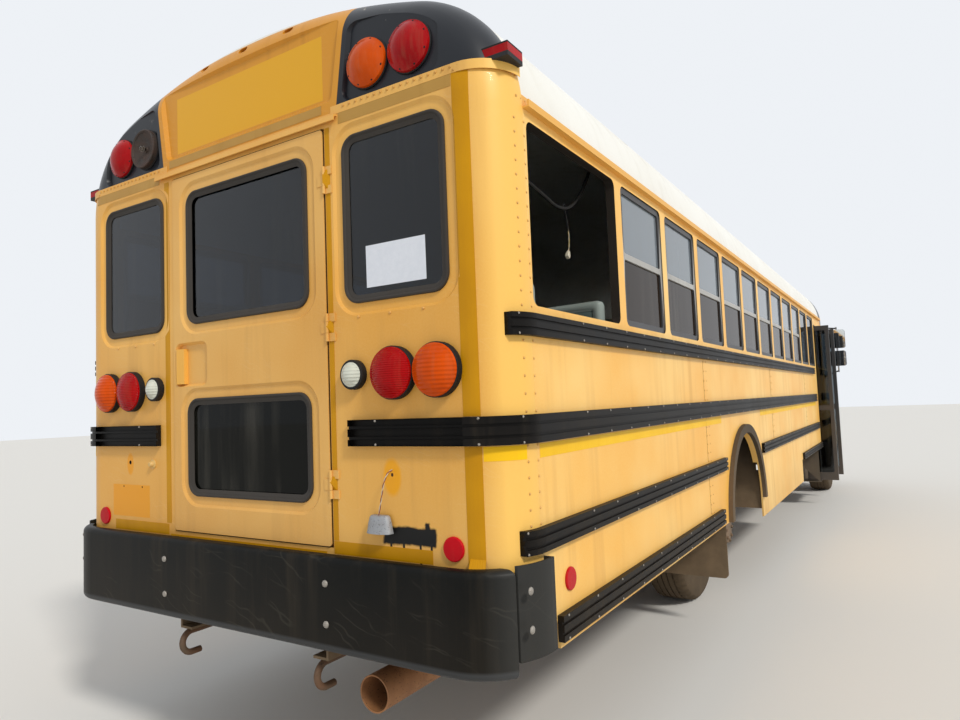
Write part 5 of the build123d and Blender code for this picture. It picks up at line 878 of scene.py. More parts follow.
# %% Strips of tape
def tape_finish(name, color, dirt, rough=0.42):
    strip = Finish(name, color, rough, specular=0.2)
    strip.over(strip.effect(MOTTLE, "Patches", Patch_size=5.0, Grain_size=160.0), dirt, 0.55, 0.45)
    strip.over(strip.effect(STREAKS, Fineness=18.0, Amount=0.5), dirt, 0.7)
    strip.over(strip.effect(CHIPS, Size=50.0, Amount=0.3), GRIME_TONE, 0.8)
    cells = strip.tree.nodes.new("ShaderNodeTexVoronoi")
    cells.inputs["Scale"].default_value = 320.0
    strip.tree.links.new(object_vector(strip.tree), cells.inputs["Vector"])
    strip.relief(cells.outputs["Distance"], 0.25, 0.0006)
    return strip.done()


gold_tape = tape_finish("gold_reflective_tape", tone(206, 146, 0), tone(182, 124, 6))
header_tape = tape_finish("faded_header_tape", tone(188, 146, 74), tone(170, 128, 62))
bright_tape = tape_finish("bright_side_tape", tone(252, 200, 10), tone(240, 184, 30))
TAPE_THICKNESS = 0.0010


def tape(name, side, start, end, low_z, high_z):
    levels = steps_between(low_z, high_z, 0.03)
    sections = []
    for distance in steps_between(start, end, 0.008 if end > CORNER_START and start < CORNER_END else 0.25):
        under, over = [], []
        for z in levels:
            place, aim = round_back(distance, side, z)
            spot = on_skin(place, aim)
            under.append(spot + aim * 0.0002)
            over.append(spot + aim * TAPE_THICKNESS)
        sections.append(under + over[::-1])
    return lofted(name, sections)


# side, start and end along the back, low and high edge, finish
TAPES = (
    ("beside_door", -1, 0.471, 0.494, 1.030, 2.548, gold_tape),
    ("beside_door", 1, 0.497, 0.530, 1.034, 2.548, gold_tape),
    ("low_panel", -1, 0.471, 0.910, 0.983, 1.028, gold_tape),
    ("low_panel", 1, 0.515, 0.929, 0.985, 1.030, gold_tape),
    ("under_door", -1, 0.0, 0.434, 0.962, 0.988, gold_tape),
    ("under_door", 1, 0.0, 0.502, 0.962, 0.988, gold_tape),
    ("over_door", -1, 0.0, 0.458, 2.606, 2.640, header_tape),
    ("over_door", 1, 0.0, 0.488, 2.606, 2.640, header_tape),
    ("header", -1, 0.541, 1.045, 2.549, 2.594, header_tape),
    ("header", 1, 0.567, 1.080, 2.549, 2.594, header_tape),
    ("corner_high", -1, 1.048, 1.110, 1.462, 2.590, gold_tape),
    ("corner_low", -1, 1.048, 1.110, 0.985, 1.365, gold_tape),
    ("under_rail", -1, 1.114, 1.262, 1.318, 1.364, bright_tape),
    ("under_rail", 1, 1.114, 1.262, 1.318, 1.364, bright_tape),
)
strips = {}
for word, side, start, end, low_z, high_z, finish in TAPES:
    strips.setdefault(finish.name, []).append(painted(tape(word, side, start, end, low_z, high_z), finish))
# start and end of the bright strip along each side, from the rear face
SIDE_TAPE = ((0.188, 2.720), (4.060, 7.860))
for side in (-1, 1):
    for start, end in SIDE_TAPE:
        strip = tape("side_tape", side, start + SIDE_FROM, end + SIDE_FROM, 1.316, 1.362)
        strips[bright_tape.name].append(painted(strip, bright_tape))
for name, pieces in strips.items():
    fitted(joined(name + "_strips", pieces), "root")
print("strips of tape:", len(TAPES) + 2 * len(SIDE_TAPE))


# %% [markdown]
# ## Rubber round the rear glass
# The four rear panes sit in a black rubber section: a rounded outer bead on the pressed border, a step,
# and a thin lip on the glass. It is one profile swept round a rounded rectangle.

# %% Window rubbers
seal_rubber = dull_black("grey_window_rubber", tone(62, 58, 54), 0.6, dust=0.0).done()
# out from the cut edge, up from the wall face
SEAL_PROFILE = (
    (0.004, -0.0088), (0.004, -0.004), (0.002, 0.000), (-0.003, 0.001), (-0.007, -0.001), (-0.010, -0.005),
    (-0.014, -0.0055), (-0.018, -0.0075), (-0.026, -0.0100), (-0.026, -0.0126), (-0.001, -0.0126),
    (-0.001, -0.0088),
)
# centre y, centre z, width, height, where the wall face is
REAR_PANES = (
    (0.7795, 2.186, 0.453, 0.614, REAR_X), (-0.7795, 2.186, 0.453, 0.614, REAR_X),
    (0.0, 2.180, 0.733, 0.576, DOOR_SKIN_X), (0.0, 1.363, 0.733, 0.406, DOOR_SKIN_X),
)
PANE_R = 0.060


def seals_of(panes, name):
    rings = []
    for y, z, width, height, face_x in panes:
        loop = shifted(rounded_loop(width, height, PANE_R, 8), y, z)
        rings.append(smoothed(swept_loop("seal", loop, on_rear(face_x), SEAL_PROFILE), 30))
    return painted(joined(name, rings), seal_rubber)


fitted(seals_of(REAR_PANES[:2], "rear_window_rubbers"), "root", "black_rubber")
fitted(seals_of(REAR_PANES[2:], "door_window_rubbers"), "rear_door", "black_rubber")

label_white = Finish("blank_white_label", tone(226, 230, 238), 0.45)
paper_grain = label_white.effect(MOTTLE, "Grain", Patch_size=8.0, Grain_size=60.0)
label_white.over(paper_grain, tone(206, 212, 222), None, 0.35)
GLASS_DEPTH = 0.0136
LABEL_CORNERS = ((-0.912, 1.926), (-0.648, 1.927), (-0.647, 2.078), (-0.911, 2.077))
label = lofted("blank_window_label", [
    [Vector((REAR_X + GLASS_DEPTH - lift, y, z)) for y, z in LABEL_CORNERS] for lift in (0.0007, 0.0012)
])
fitted(painted(label, label_white.done()), "root", "black_rubber")

# %% [markdown]
# ## Lamps
# Tail, direction and reversing lamps are moulded domes on black bodies, with horizontal flutes. The
# warning lamps on the cap have a ring of small screws, and one amber lens has gone, which leaves a dirty
# reflector bowl with its bulb. Lenses are turned from a profile, and flutes are relief from a wave.


# %% Lenses, gaskets and the open bowl
def lens_finish(name, color, deep, flute_pitch=None):
    lens = Finish(name, color, 0.2, specular=0.12)
    lens.over(lens.effect(MOTTLE, "Patches", Patch_size=9.0, Grain_size=120.0), deep, None, 0.55)
    lens.over(lens.effect(CHIPS, Size=130.0, Amount=0.25), GRIME_TONE, 0.8)
    lens.over(lens.effect(STREAKS, Fineness=40.0, Amount=0.12), DUST_TONE, 0.6)
    if flute_pitch:
        phase = lens.math("MULTIPLY", lens.axis("Z"), 2 * math.pi / flute_pitch)
        lens.relief(lens.math("SINE", phase), 0.55, 0.0016)
    lens.relief(noise_node(lens.tree, object_vector(lens.tree), 60.0, 2.0), 0.15, 0.003)
    return lens.done()


red_lens = lens_finish("fluted_red_lens", tone(176, 0, 4), tone(128, 0, 4), flute_pitch=0.0075)
red_dome = lens_finish("red_warning_lens", tone(176, 16, 20), tone(126, 8, 14))
amber_lens = lens_finish("amber_lens", tone(222, 82, 0), tone(178, 56, 0), flute_pitch=0.014)
amber_dome = lens_finish("amber_warning_lens", tone(216, 84, 8), tone(168, 58, 8))
clear_lens = lens_finish("clear_reversing_lens", tone(222, 224, 210), tone(168, 172, 158), flute_pitch=0.012)
reflector_red = lens_finish("red_reflector", tone(200, 8, 26), tone(164, 6, 22))
gasket_rubber = dull_black("lamp_gasket", tone(26, 25, 26), 0.6, dust=0.0).done()
screw_steel = rusty("small_screw_steel", tone(170, 166, 158), 0.15, 60.0, 0.7, 0.0).done()


def lens_profile(radius, out, rim=0.35):
    step = out * rim
    inner = radius - 0.006
    profile = [(radius, 0.0), (radius, step * 0.75), (radius - 0.002, step), (inner, step + 0.001)]
    for i in range(1, 11):
        share = 1 - i / 10.3
        profile.append((inner * share, step + 0.001 + (out - step - 0.001) * (1 - share ** 2.3)))
    return profile


# out from the lens, up from its foot
GASKET_PROFILE = ((0.004, 0.0), (0.004, 0.005), (0.001, 0.0075), (-0.006, 0.0075), (-0.006, 0.0))


LAMP_BODY = 0.019


def gasket(centre, radius, aim=(-1, 0, 0), body=0.0):
    """A ring round a lens, whose foot reaches back by the height of the lamp's body."""
    aim = Vector(aim)
    across = aim.orthogonal().normalized()
    upright = aim.cross(across)
    loop = []
    for k in range(48):
        turn = 2 * math.pi * k / 48
        loop.append((radius * math.cos(turn), radius * math.sin(turn), math.cos(turn), math.sin(turn)))

    def place(a, b, up):
        return Vector(centre) + across * a + upright * b + aim * up

    profile = [(out, up if up > 0 else -body) for out, up in GASKET_PROFILE]
    return smoothed(painted(swept_loop("gasket", loop, place, profile), gasket_rubber))


POCKET_X = REAR_X + 0.016
LAMP_HIGH_Z = 2.742
# face x, y, z, radius, how far it stands out, finish
LAMPS = (
    (REAR_X, 0.777, 1.617, 0.088, 0.045, red_lens), (REAR_X, -0.777, 1.617, 0.088, 0.045, red_lens),
    (REAR_X, 0.960, 1.617, 0.088, 0.045, amber_lens), (REAR_X, -0.960, 1.617, 0.088, 0.045, amber_lens),
    (REAR_X, 0.595, 1.620, 0.044, 0.030, clear_lens), (REAR_X, -0.595, 1.620, 0.044, 0.030, clear_lens),
    (POCKET_X, 0.872, LAMP_HIGH_Z, 0.090, 0.052, red_dome),
    (POCKET_X, -0.872, LAMP_HIGH_Z, 0.090, 0.052, red_dome),
    (POCKET_X, -0.680, LAMP_HIGH_Z, 0.090, 0.052, amber_dome),
)
REFLECTOR_PROFILE = (
    (0.040, 0), (0.040, 0.005), (0.037, 0.008), (0.012, 0.0088), (0.005, 0.009), (0.001, 0.009),
)
lenses = {}
gaskets = []
for face_x, y, z, radius, out, finish in LAMPS:
    body = LAMP_BODY if face_x == REAR_X else 0.0
    face_x -= body
    lens = spun("lens", lens_profile(radius, out), (face_x - 0.0004, y, z), (-1, 0, 0))
    lenses.setdefault(finish.name, []).append(painted(lens, finish))
    gaskets.append(gasket((face_x - 0.0002, y, z), radius + (0.005 if radius < 0.05 else 0.0), body=body))
for side in (-1, 1):
    on_back = ((REAR_X, side * 1.003 + 0.008, 1.040), (-1, 0, 0))
    on_flank = ((REAR_X + 0.371, side * HALF_WIDTH, 0.885), (0, side, 0))
    for centre, aim in (on_back, on_flank):
        button = spun("reflector", REFLECTOR_PROFILE, Vector(centre) + Vector(aim) * 0.0004, aim)
        lenses.setdefault(reflector_red.name, []).append(painted(button, reflector_red))
SLOT_OF_LENS = {clear_lens.name: "clear_glass"}
for name, pieces in lenses.items():
    whole = fitted(joined(name + "es", pieces), "root", SLOT_OF_LENS.get(name, "red_lens"))
    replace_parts(whole, "rear_lamps")

bowl_steel = rusty("dirty_lamp_bowl", tone(66, 60, 56), 0.2, 22.0, 0.5, 0.0).done()
bulb_glass = glass("bulb_glass", tone(226, 220, 204)).done()
BOWL_PLACE = (POCKET_X - 0.0004, 0.680, LAMP_HIGH_Z)
bowl_rows = [(0.090, 0.0), (0.090, 0.026), (0.086, 0.029), (0.080, 0.026)]
bowl_rows += [(0.078 * share, 0.004 + 0.018 * share ** 2) for share in (1, 0.9, 0.78, 0.64, 0.5, 0.36, 0.25)]
bowl_rows += [(0.016, 0.006), (0.014, 0.012), (0.002, 0.012)]
bowl = painted(spun("bowl", bowl_rows, BOWL_PLACE, (-1, 0, 0)), bowl_steel)
BULB_PROFILE = (
    (0.008, 0.012), (0.008, 0.017), (0.0125, 0.025), (0.0125, 0.032), (0.008, 0.039), (0.001, 0.041),
)
bulb = spun("bulb", BULB_PROFILE, BOWL_PLACE, (-1, 0, 0), 20, 60)
bowl_set = joined("open_lamp_bowl", [bowl, painted(bulb, bulb_glass)])
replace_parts(fitted(bowl_set, "root", "red_lens"), "rear_lamps")
fitted(joined("lamp_gaskets", gaskets + [gasket(BOWL_PLACE, 0.090)]), "root", "black_rubber")

SCREW_PROFILE = ((0.0042, 0), (0.0042, 0.0026), (0.003, 0.0036), (0.001, 0.0036))
SCREW_RING_R = 0.081
SCREWS = 8
screw_rings = []
for y in (-0.872, -0.680, 0.872):
    for k in range(SCREWS):
        turn = 2 * math.pi * (k + 0.5) / SCREWS
        out, up = SCREW_RING_R * math.cos(turn), SCREW_RING_R * math.sin(turn)
        spot = Vector((POCKET_X - 0.019, y + out, LAMP_HIGH_Z + up))
        screw_rings.append(spun("screw", SCREW_PROFILE, spot, (-1, 0, 0), 8))
fitted(painted(joined("warning_lamp_screws", screw_rings), gasket_rubber), "root", "black_rubber")
print("lamps:", len(LAMPS) + 1, "and reflectors: 4")

# %% [markdown]
# ## Rivets, screws and seams
# The rows follow the photograph: one along the flange under the cap, two beside each panel seam, one
# over the bumper, a close row along the drip rail, and screws along both edges of the rub rails.

# %% Rivet rows
faint_rivets = bus_paint("faint_rivet_paint", tone(222, 164, 84), tone(236, 190, 120), tone(178, 128, 66),
                         dust=0.3).done()
# Painted shade: these rivet heads are darker than the paint round them, standing in for the shadow at each
# head
shaded_rivet_paint = bus_paint("rivet_paint", tone(206, 146, 62), tone(222, 172, 96), tone(150, 104, 52),
                        dust=0.3).done()


def back_row(start, end, side, z, lift=0.0):
    """Guide points along the back and round the corner, seated on the skin."""
    points, aims = [], []
    for distance in steps_between(start, end, 0.020 if end > CORNER_START else 0.25):
        place, aim = round_back(distance, side, z)
        points.append(on_skin(place, aim) + aim * lift)
        aims.append(aim)
    return points, aims


def side_row(x0, z0, x1, z1, side, lift=0.0):
    """Guide points on a straight line of the side, from the wall's rear edge and the ground."""
    aim = Vector((0, side, 0))
    count = max(1, round(math.hypot(x1 - x0, z1 - z0) / 0.4))
    points = []
    for i in range(count + 1):
        share = i / count
        place = Vector((REAR_X + x0 + (x1 - x0) * share, side * HALF_WIDTH, z0 + (z1 - z0) * share))
        points.append(on_skin(place, aim) + aim * lift)
    return points, aim


wall_rows = []
for side in (-1, 1):
    wall_rows.append(back_row(0.485, 1.081, side, 0.967))
    wall_rows.append(back_row(0.617, 0.904, side, 1.826))
fitted(head_rows("rear_panel_rivets", wall_rows, 0.097, 0.0062, 0.0038, faint_rivets), "root", "amber_paint")

flange_strips, flange_rows = [], []
for side in (-1, 1):
    sections = []
    for distance in steps_between(0.505, CORNER_END, 0.018):
        section = []
        for z, lift in ((2.590, 0.0002), (2.6225, 0.0002), (2.6225, 0.0016), (2.590, 0.0016)):
            place, aim = round_back(distance, side, z)
            section.append(place + aim * lift)
        sections.append(section)
    flange_strips.append(smoothed(lofted("flange", sections), 20))
    flange_rows.append(back_row(0.569, CORNER_END - 0.01, side, 2.612, 0.0014))
    flange_rows.append(back_row(CORNER_START, CORNER_END - 0.01, side, 2.599, 0.0014))
fitted(painted(joined("cap_flange", flange_strips), rear_paint), "root", "amber_paint")
flange_heads = head_rows("cap_flange_rivets", flange_rows, 0.0293, 0.0060, 0.0042, shaded_rivet_paint)
fitted(flange_heads, "root", "amber_paint")

# Panel seams from the rear face, the first at the corner, and the heights between rails and windows
SEAMS_X = (0.105, 2.335, 4.620, 6.900)
SEAM_GAPS = ((1.815, 2.440), (1.470, 1.700), (1.105, 1.360), (0.800, 1.010))


def seam_spans(seam_x):
    """The heights at which a seam shows: beside a window or below the skirt there is none."""
    spans = []
    for low, high in SEAM_GAPS:
        under_floor = low < 0.9 and (seam_x > 2.4 or seam_x < 0.2)
        beside_window = low > 1.8 and seam_x > 0.2
        if not (under_floor or beside_window):
            spans.append((low, high))
    return spans


seam_rows = []
for side in (-1, 1):
    for seam_x in SEAMS_X:
        for column in (0.013, 0.069):
            for low, high in seam_spans(seam_x):
                seam_rows.append(side_row(seam_x + column, low, seam_x + column, high, side))
fitted(head_rows("seam_rivets", seam_rows, 0.047, 0.0052, 0.0030, faint_rivets, 6), "root", "amber_paint")

SEAM_HALF = 0.0010
seam_lines = []
for side in (-1, 1):
    for seam_x in SEAMS_X[1:]:
        line_x = SIDE_FROM + seam_x
        for low, high in seam_spans(seam_x):
            seam_lines.append(tape("seam_line", side, line_x - SEAM_HALF, line_x + SEAM_HALF, low, high))
seam_shadow = dull_black("seam_shadow", tone(150, 106, 52), 0.7, dust=0.0).done()
fitted(painted(joined("side_seam_lines", seam_lines), seam_shadow), "root", "amber_paint")

drip_rows = [side_row(0.134, 2.518, 8.840, 2.518, side) for side in (-1, 1)]
fitted(head_rows("drip_rail_rivets", drip_rows, 0.028, 0.0052, 0.0034, shaded_rivet_paint, 6), "root", "amber_paint")

# start x, end x, low edge, high edge of the rails on the sides
RAIL_EDGES = (
    (0.077, 7.900, 1.720, 1.784), (0.077, 7.900, 1.3735, 1.4545), (0.077, 2.700, 1.0245, 1.0905),
    (4.060, 7.960, 1.0245, 1.0905), (0.300, 2.560, 0.7085, 0.7835), (6.400, 8.140, 0.7695, 0.8225),
)
screw_rows = []
for side in (-1, 1):
    for start, end, low, high in RAIL_EDGES:
        screw_rows.append(side_row(start, low, end, low, side))
        screw_rows.append(side_row(start, high, end, high, side))
    for z in (1.3735, 1.4545):
        screw_rows.append(back_row(0.698, 1.107, side, z))
fitted(head_rows("rail_screws", screw_rows, 0.2265, 0.0050, 0.0030, screw_steel, 7), "root", "grey_zinc")


# %% [markdown]
# ## Loose wires
# The licence lamp hangs by its two wires from the hole of the lamp before it. Inside the first window a
# conduit has come down from the ceiling, with a pair of thin wires and a plug on it. Each is a free cord:
# a smooth spline through the route's own points, and the pairs are two strands twisted round that line.

# %% Cords
LICENCE_ROUTE = (
    (-5.3875, -0.748, 1.286), (-5.4075, -0.748, 1.283), (-5.4205, -0.744, 1.262), (-5.4235, -0.735, 1.230),
    (-5.4185, -0.724, 1.196), (-5.4125, -0.711, 1.160), (-5.4115, -0.701, 1.124),
)
CONDUIT_ROUTE = (
    (-5.3473, -1.040, 2.374), (-5.2375, -1.050, 2.370), (-5.1075, -1.072, 2.353), (-4.9725, -1.092, 2.331),
    (-4.8425, -1.098, 2.305), (-4.7225, -1.094, 2.284), (-4.6075, -1.096, 2.300), (-4.5155, -1.099, 2.362),
    (-4.4255, -1.097, 2.448), (-4.3525, -1.098, 2.545), (-4.3035, -1.095, 2.655), (-4.2905, -1.091, 2.762),
)
TAIL_ROUTE = (
    (-4.6390, -1.0940, 2.2890), (-4.6195, -1.090, 2.262), (-4.6035, -1.088, 2.228), (-4.5995, -1.089, 2.190),
    (-4.6075, -1.092, 2.154), (-4.6215, -1.095, 2.121), (-4.6395, -1.096, 2.090),
)


def route_curve(name, route, radius):
    curve = bpy.data.curves.new(name, "CURVE")
    curve.dimensions = "3D"
    curve.bevel_depth = radius
    curve.bevel_resolution = 3
    curve.resolution_u = 14
    curve.use_fill_caps = True
    spline = curve.splines.new("NURBS")
    spline.points.add(len(route) - 1)
    for place, point in zip(spline.points, route):
        place.co = (*point, 1)
    spline.order_u = 3
    spline.use_endpoint_u = True
    cord = bpy.data.objects.new(name, curve)
    bpy.context.scene.collection.objects.link(cord)
    return cord


def route_line(route):
    """The points of the smooth line that a route gives."""
    guide = route_curve("guide", route, 0.0)
    line = applied(guide)
    points = [vert.co.copy() for vert in line.data.vertices]
    bpy.data.objects.remove(line)
    return points


def strand(name, line, offset, radius, start_turn, turns):
    """A wire that winds round a line at an even distance."""
    points = []
    for i, point in enumerate(line):
        ahead = (line[min(i + 1, len(line) - 1)] - line[max(i - 1, 0)]).normalized()
        across = ahead.cross(Vector((0.3, 1, 0.1))).normalized()
        upright = ahead.cross(across)
        turn = start_turn + 2 * math.pi * turns * i / (len(line) - 1)
        points.append(point + (across * math.cos(turn) + upright * math.sin(turn)) * offset)
    return tube(name, points, radius, sides=2)


def wire_finish(name, color):
    cover = Finish(name, color, 0.5)
    cover.over(cover.effect(MOTTLE, "Grain", Patch_size=10.0, Grain_size=300.0), GRIME_TONE, None, 0.35)
    return cover.done()


red_wire = wire_finish("red_wire_cover", tone(150, 70, 54))
white_wire = wire_finish("white_wire_cover", tone(214, 204, 182))
yellow_wire = wire_finish("yellow_wire_cover", tone(206, 178, 92))
black_loom = dull_black("black_conduit", tone(22, 22, 23), 0.6, dust=0.0).done()


def length_of(line):
    return sum((b - a).length for a, b in zip(line, line[1:]))


WIRE_TURNS = 3.5


def twin_wires(name, route, colors, reach, wire_r):
    """Two wires twisted round a route's line, and the line itself."""
    line = route_line(route)
    pair = []
    for turn, color in zip((0, math.pi), colors):
        pair.append(painted(strand("wire", line, reach, wire_r, turn, WIRE_TURNS), color))
    whole = joined(name, pair)
    print(name, "is", round(length_of(line), 3), "m long")
    return smoothed(whole, 60), line


licence_wires, licence_line = twin_wires("licence_lamp_wires", LICENCE_ROUTE, (red_wire, white_wire),
                                         0.0015, 0.0015)
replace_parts(fitted(licence_wires, "root", "black_rubber"), "licence_wire")

conduit = route_curve("hanging_conduit", CONDUIT_ROUTE, 0.007)
painted(conduit, black_loom)
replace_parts(fitted(conduit, "root", "black_plastic"), "loose_conduit")
conduit_line = route_line(CONDUIT_ROUTE)
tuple(CONDUIT_ROUTE[0])
length_of(conduit_line)

tail_wires, tail_line = twin_wires("hanging_wires", TAIL_ROUTE, (yellow_wire, white_wire), 0.0013, 0.0012)
sleeve = painted(tube("sleeve", tail_line[:len(tail_line) * 2 // 5], 0.0034), black_loom)
tie_middle = Vector(TAIL_ROUTE[0]) + Vector((0, 0, 0.014))
tie_points = []
for degrees in range(0, 360, 24):
    turn = math.radians(degrees)
    tie_points.append(tie_middle + Vector((0.011 * math.cos(turn), 0.002, 0.013 * math.sin(turn))))
tie = painted(tube("tie", tie_points, 0.0022, closed=True), black_loom)
wire_sleeve = fitted(joined("hanging_wire_sleeve", [sleeve, tie]), "root", "black_plastic")
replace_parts(fitted(tail_wires, "root", "black_plastic"), "loose_tail")
plug_low = Vector(TAIL_ROUTE[-1])
plug_way = (tail_line[-2] - tail_line[-1]).normalized()
plug_across = plug_way.cross(Vector((0, 1, 0))).normalized()
plug_up = plug_way.cross(plug_across)
# height, half width, half depth
PLUG_ROWS = (
    (0.0, 0.0094, 0.0070), (0.003, 0.0110, 0.0080), (0.018, 0.0110, 0.0080), (0.0185, 0.0084, 0.0060),
    (0.030, 0.0084, 0.0060), (0.0325, 0.0050, 0.0034),
)
PLUG_CORNERS = ((-1, -0.7), (-0.7, -1), (0.7, -1), (1, -0.7), (1, 0.7), (0.7, 1), (-0.7, 1), (-1, 0.7))
plug_sections = []
for height, wide, deep in PLUG_ROWS:
    middle = plug_low + plug_way * height
    plug_sections.append([middle + plug_across * a * wide + plug_up * b * deep for a, b in PLUG_CORNERS])
wire_plug = fitted(painted(lofted("white_wire_plug", plug_sections), white_wire), "root", "black_plastic")
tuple(TAIL_ROUTE[0])
length_of(tail_line)
[tuple(point) for point in tail_line]

# %% [markdown]
# ## Licence lamp
# The lamp that hangs there is a small hood of dull metal: open below over its lens, rounded in front and
# wider at the bottom. It is a shell lofted through a few bent sections, with a rolled lower edge.

# %% Licence lamp
hood_zinc = rusty("licence_lamp_metal", tone(164, 168, 172), 0.12, 30.0, 0.55, 0.0).done()
LAMP_TOP = Vector(LICENCE_ROUTE[-1])


def hood_section(drop, wide, deep, inset):
    """Half an oval in plan, flat at the back, at a level below the top of the lamp."""
    points = []
    for k in range(17):
        turn = math.pi * k / 16
        side = math.cos(turn)
        out = math.sin(turn) ** 0.6
        points.append(LAMP_TOP + Vector((0.014 - out * (deep - inset), side * (wide - inset), -drop)))
    for edge in (-1, 1):
        points.append(LAMP_TOP + Vector((0.015 - inset, edge * (wide - inset), -drop)))
    return points


# drop below the wires' end, half width, depth
HOOD_ROWS = (
    (-0.011, 0.026, 0.014), (-0.0095, 0.036, 0.021), (-0.004, 0.041, 0.025), (0.016, 0.047, 0.028),
    (0.042, 0.0515, 0.031), (0.048, 0.0535, 0.033), (0.050, 0.0535, 0.033),
)
outer_rows = [hood_section(drop, wide, deep, 0.0) for drop, wide, deep in HOOD_ROWS]
inner_rows = [hood_section(drop + 0.0015, wide, deep, 0.002) for drop, wide, deep in HOOD_ROWS[2:-1]]
inner_rows.append(hood_section(*HOOD_ROWS[-1], 0.002))
licence_hood = smoothed(lofted("licence_lamp_hood", outer_rows + inner_rows[::-1]), 38)
painted(licence_hood, hood_zinc)
lens_low = LAMP_TOP + Vector((-0.008, -0.032, -0.047))
lens_high = LAMP_TOP + Vector((0.010, 0.032, -0.022))
lamp_lens = painted(box_piece("licence_lamp_lens", lens_low, lens_high, 0.004), clear_lens)
stem_ends = [LAMP_TOP + Vector((0, 0, z)) for z in (0.004, -0.008)]
stem = painted(tube("stem", stem_ends, 0.005), rubber)
licence_set = joined("licence_lamp_set", [licence_hood, lamp_lens, stem])
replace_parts(fitted(licence_set, "root", "grey_zinc"), "licence_lamp")
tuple(LICENCE_ROUTE[0])
length_of(licence_line)
[tuple(point) for point in licence_line]


# %% [markdown]
# ## Fittings on the back
# Dome-headed bolts hold the bumper, a small rubber stop takes the open door, and a bead of rubber closes
# the gap round the emergency door. The corner lamps are a red lens between a dark base and a dark cover:
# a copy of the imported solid, cut at two levels, keeps their fit to the rounded shoulder.

# %% Bolts, stop, door bead and corner lamps
BOLT_PROFILE = ((0.0125, -0.0005), (0.0125, 0.0015), (0.0110, 0.0042), (0.0070, 0.0062), (0.0020, 0.0068))
BUMPER_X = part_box("rear_bumper")[0].x
BUMPER_BOLTS = ((0.438, 0.901), (0.436, 0.757), (-0.495, 0.897), (-0.496, 0.758))
bolts = [spun("bolt", BOLT_PROFILE, (BUMPER_X, y, z), (-1, 0, 0), 16) for y, z in BUMPER_BOLTS]
for side in (-1, 1):
    for z in (0.930, 0.815):
        spot = on_skin((REAR_X + 0.028, side * 1.250, z), (0, side, 0))
        bolts.append(spun("bolt", BOLT_PROFILE, spot, (0, side, 0), 16))
fitted(painted(joined("bumper_bolts", bolts), screw_steel), "root", "grey_zinc")

STOP_PROFILE = (
    (0.021, -0.0003), (0.021, 0.004), (0.014, 0.007), (0.012, 0.016), (0.009, 0.020), (0.002, 0.021),
)
cream_stop = wire_finish("cream_rubber_stop", tone(232, 190, 112))
stop_button = spun("door_stop_button", STOP_PROFILE, (REAR_X, 0.630, 1.287), (-1, 0, 0), 28)
fitted(painted(stop_button, cream_stop), "root", "amber_paint")

BEAD_PROFILE = ((0.0, -0.003), (0.0044, -0.0045), (0.0048, -0.0100), (0.0, -0.0125))
bead_loop = shifted(rounded_loop(0.9202, 1.538, 0.012, 4), 0.0019, 1.777)
bead = swept_loop("door_edge_bead", bead_loop, on_rear(DOOR_SKIN_X), BEAD_PROFILE)
# The bead is coloured dark brown as painted shade: the shadow in the gap round the door
bead_in_painted_shade = dull_black("dusty_door_bead", tone(84, 58, 28), 0.7, dust=0.0, specular=0.1).done()
fitted(painted(smoothed(bead, 50), bead_in_painted_shade), "rear_door", "black_rubber")


def node_copy(name, node, low, high):
    """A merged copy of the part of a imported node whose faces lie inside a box."""
    work = bmesh.new()
    work.from_mesh(nodes[node].data)
    outside = []
    for face in work.faces:
        middle = face.calc_center_median()
        if any(middle[i] < low[i] or middle[i] > high[i] for i in range(3)):
            outside.append(face)
    bmesh.ops.delete(work, geom=outside, context="FACES")
    bmesh.ops.remove_doubles(work, verts=work.verts, dist=0.00002)
    mesh = bpy.data.meshes.new(name)
    work.to_mesh(mesh)
    work.free()
    piece = bpy.data.objects.new(name, mesh)
    bpy.context.scene.collection.objects.link(piece)
    return piece


def banded(piece, axis, levels, materials):
    """Cut a piece at levels along an axis and give each band its own material."""
    for material in materials:
        piece.data.materials.append(material)
    work = bmesh.new()
    work.from_mesh(piece.data)
    normal = [1.0 if i == axis else 0.0 for i in range(3)]
    for level in levels:
        everything = work.verts[:] + work.edges[:] + work.faces[:]
        bmesh.ops.bisect_plane(work, geom=everything, plane_co=[v * level for v in normal], plane_no=normal)
    for face in work.faces:
        middle = face.calc_center_median()[axis]
        face.material_index = sum(middle > level for level in levels)
    work.to_mesh(piece.data)
    work.free()
    return piece


def trimmed(piece, x):
    """Cut away what lies behind a level across the bus, and close the cut."""
    work = bmesh.new()
    work.from_mesh(piece.data)
    cut = bmesh.ops.bisect_plane(work, geom=work.verts[:] + work.edges[:] + work.faces[:], plane_co=(x, 0, 0),
                                 plane_no=(1, 0, 0), clear_inner=True)["geom_cut"]
    bmesh.ops.edgenet_fill(work, edges=[part for part in cut if isinstance(part, bmesh.types.BMEdge)])
    work.to_mesh(piece.data)
    work.free()
    return outward(piece)


BELT_RAIL_X = REAR_X + 0.056
LOW_RAIL_X = REAR_X + 0.074
rail_low, rail_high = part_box("rub_rails")
# Levels that part the belt rail, the rail that wraps the corner and the low rails
BELT_LEVEL = 1.6
WRAP_LEVEL = 1.2


def rails_between(name, low_z, high_z):
    return node_copy(name, "rub_rails", (rail_low.x, rail_low.y, low_z), (rail_high.x, rail_high.y, high_z))


belt_rails = trimmed(rails_between("belt_rails", BELT_LEVEL, rail_high.z), BELT_RAIL_X)
wrapped_rails = rails_between("wrapped_rails", WRAP_LEVEL, BELT_LEVEL)
low_rails = trimmed(rails_between("low_rails", rail_low.z, WRAP_LEVEL), LOW_RAIL_X)
rails = painted(joined("side_rub_rails", [belt_rails, wrapped_rails, low_rails]), rail_paint)
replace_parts(fitted(rails, "root", "black_paint"), "rub_rails")

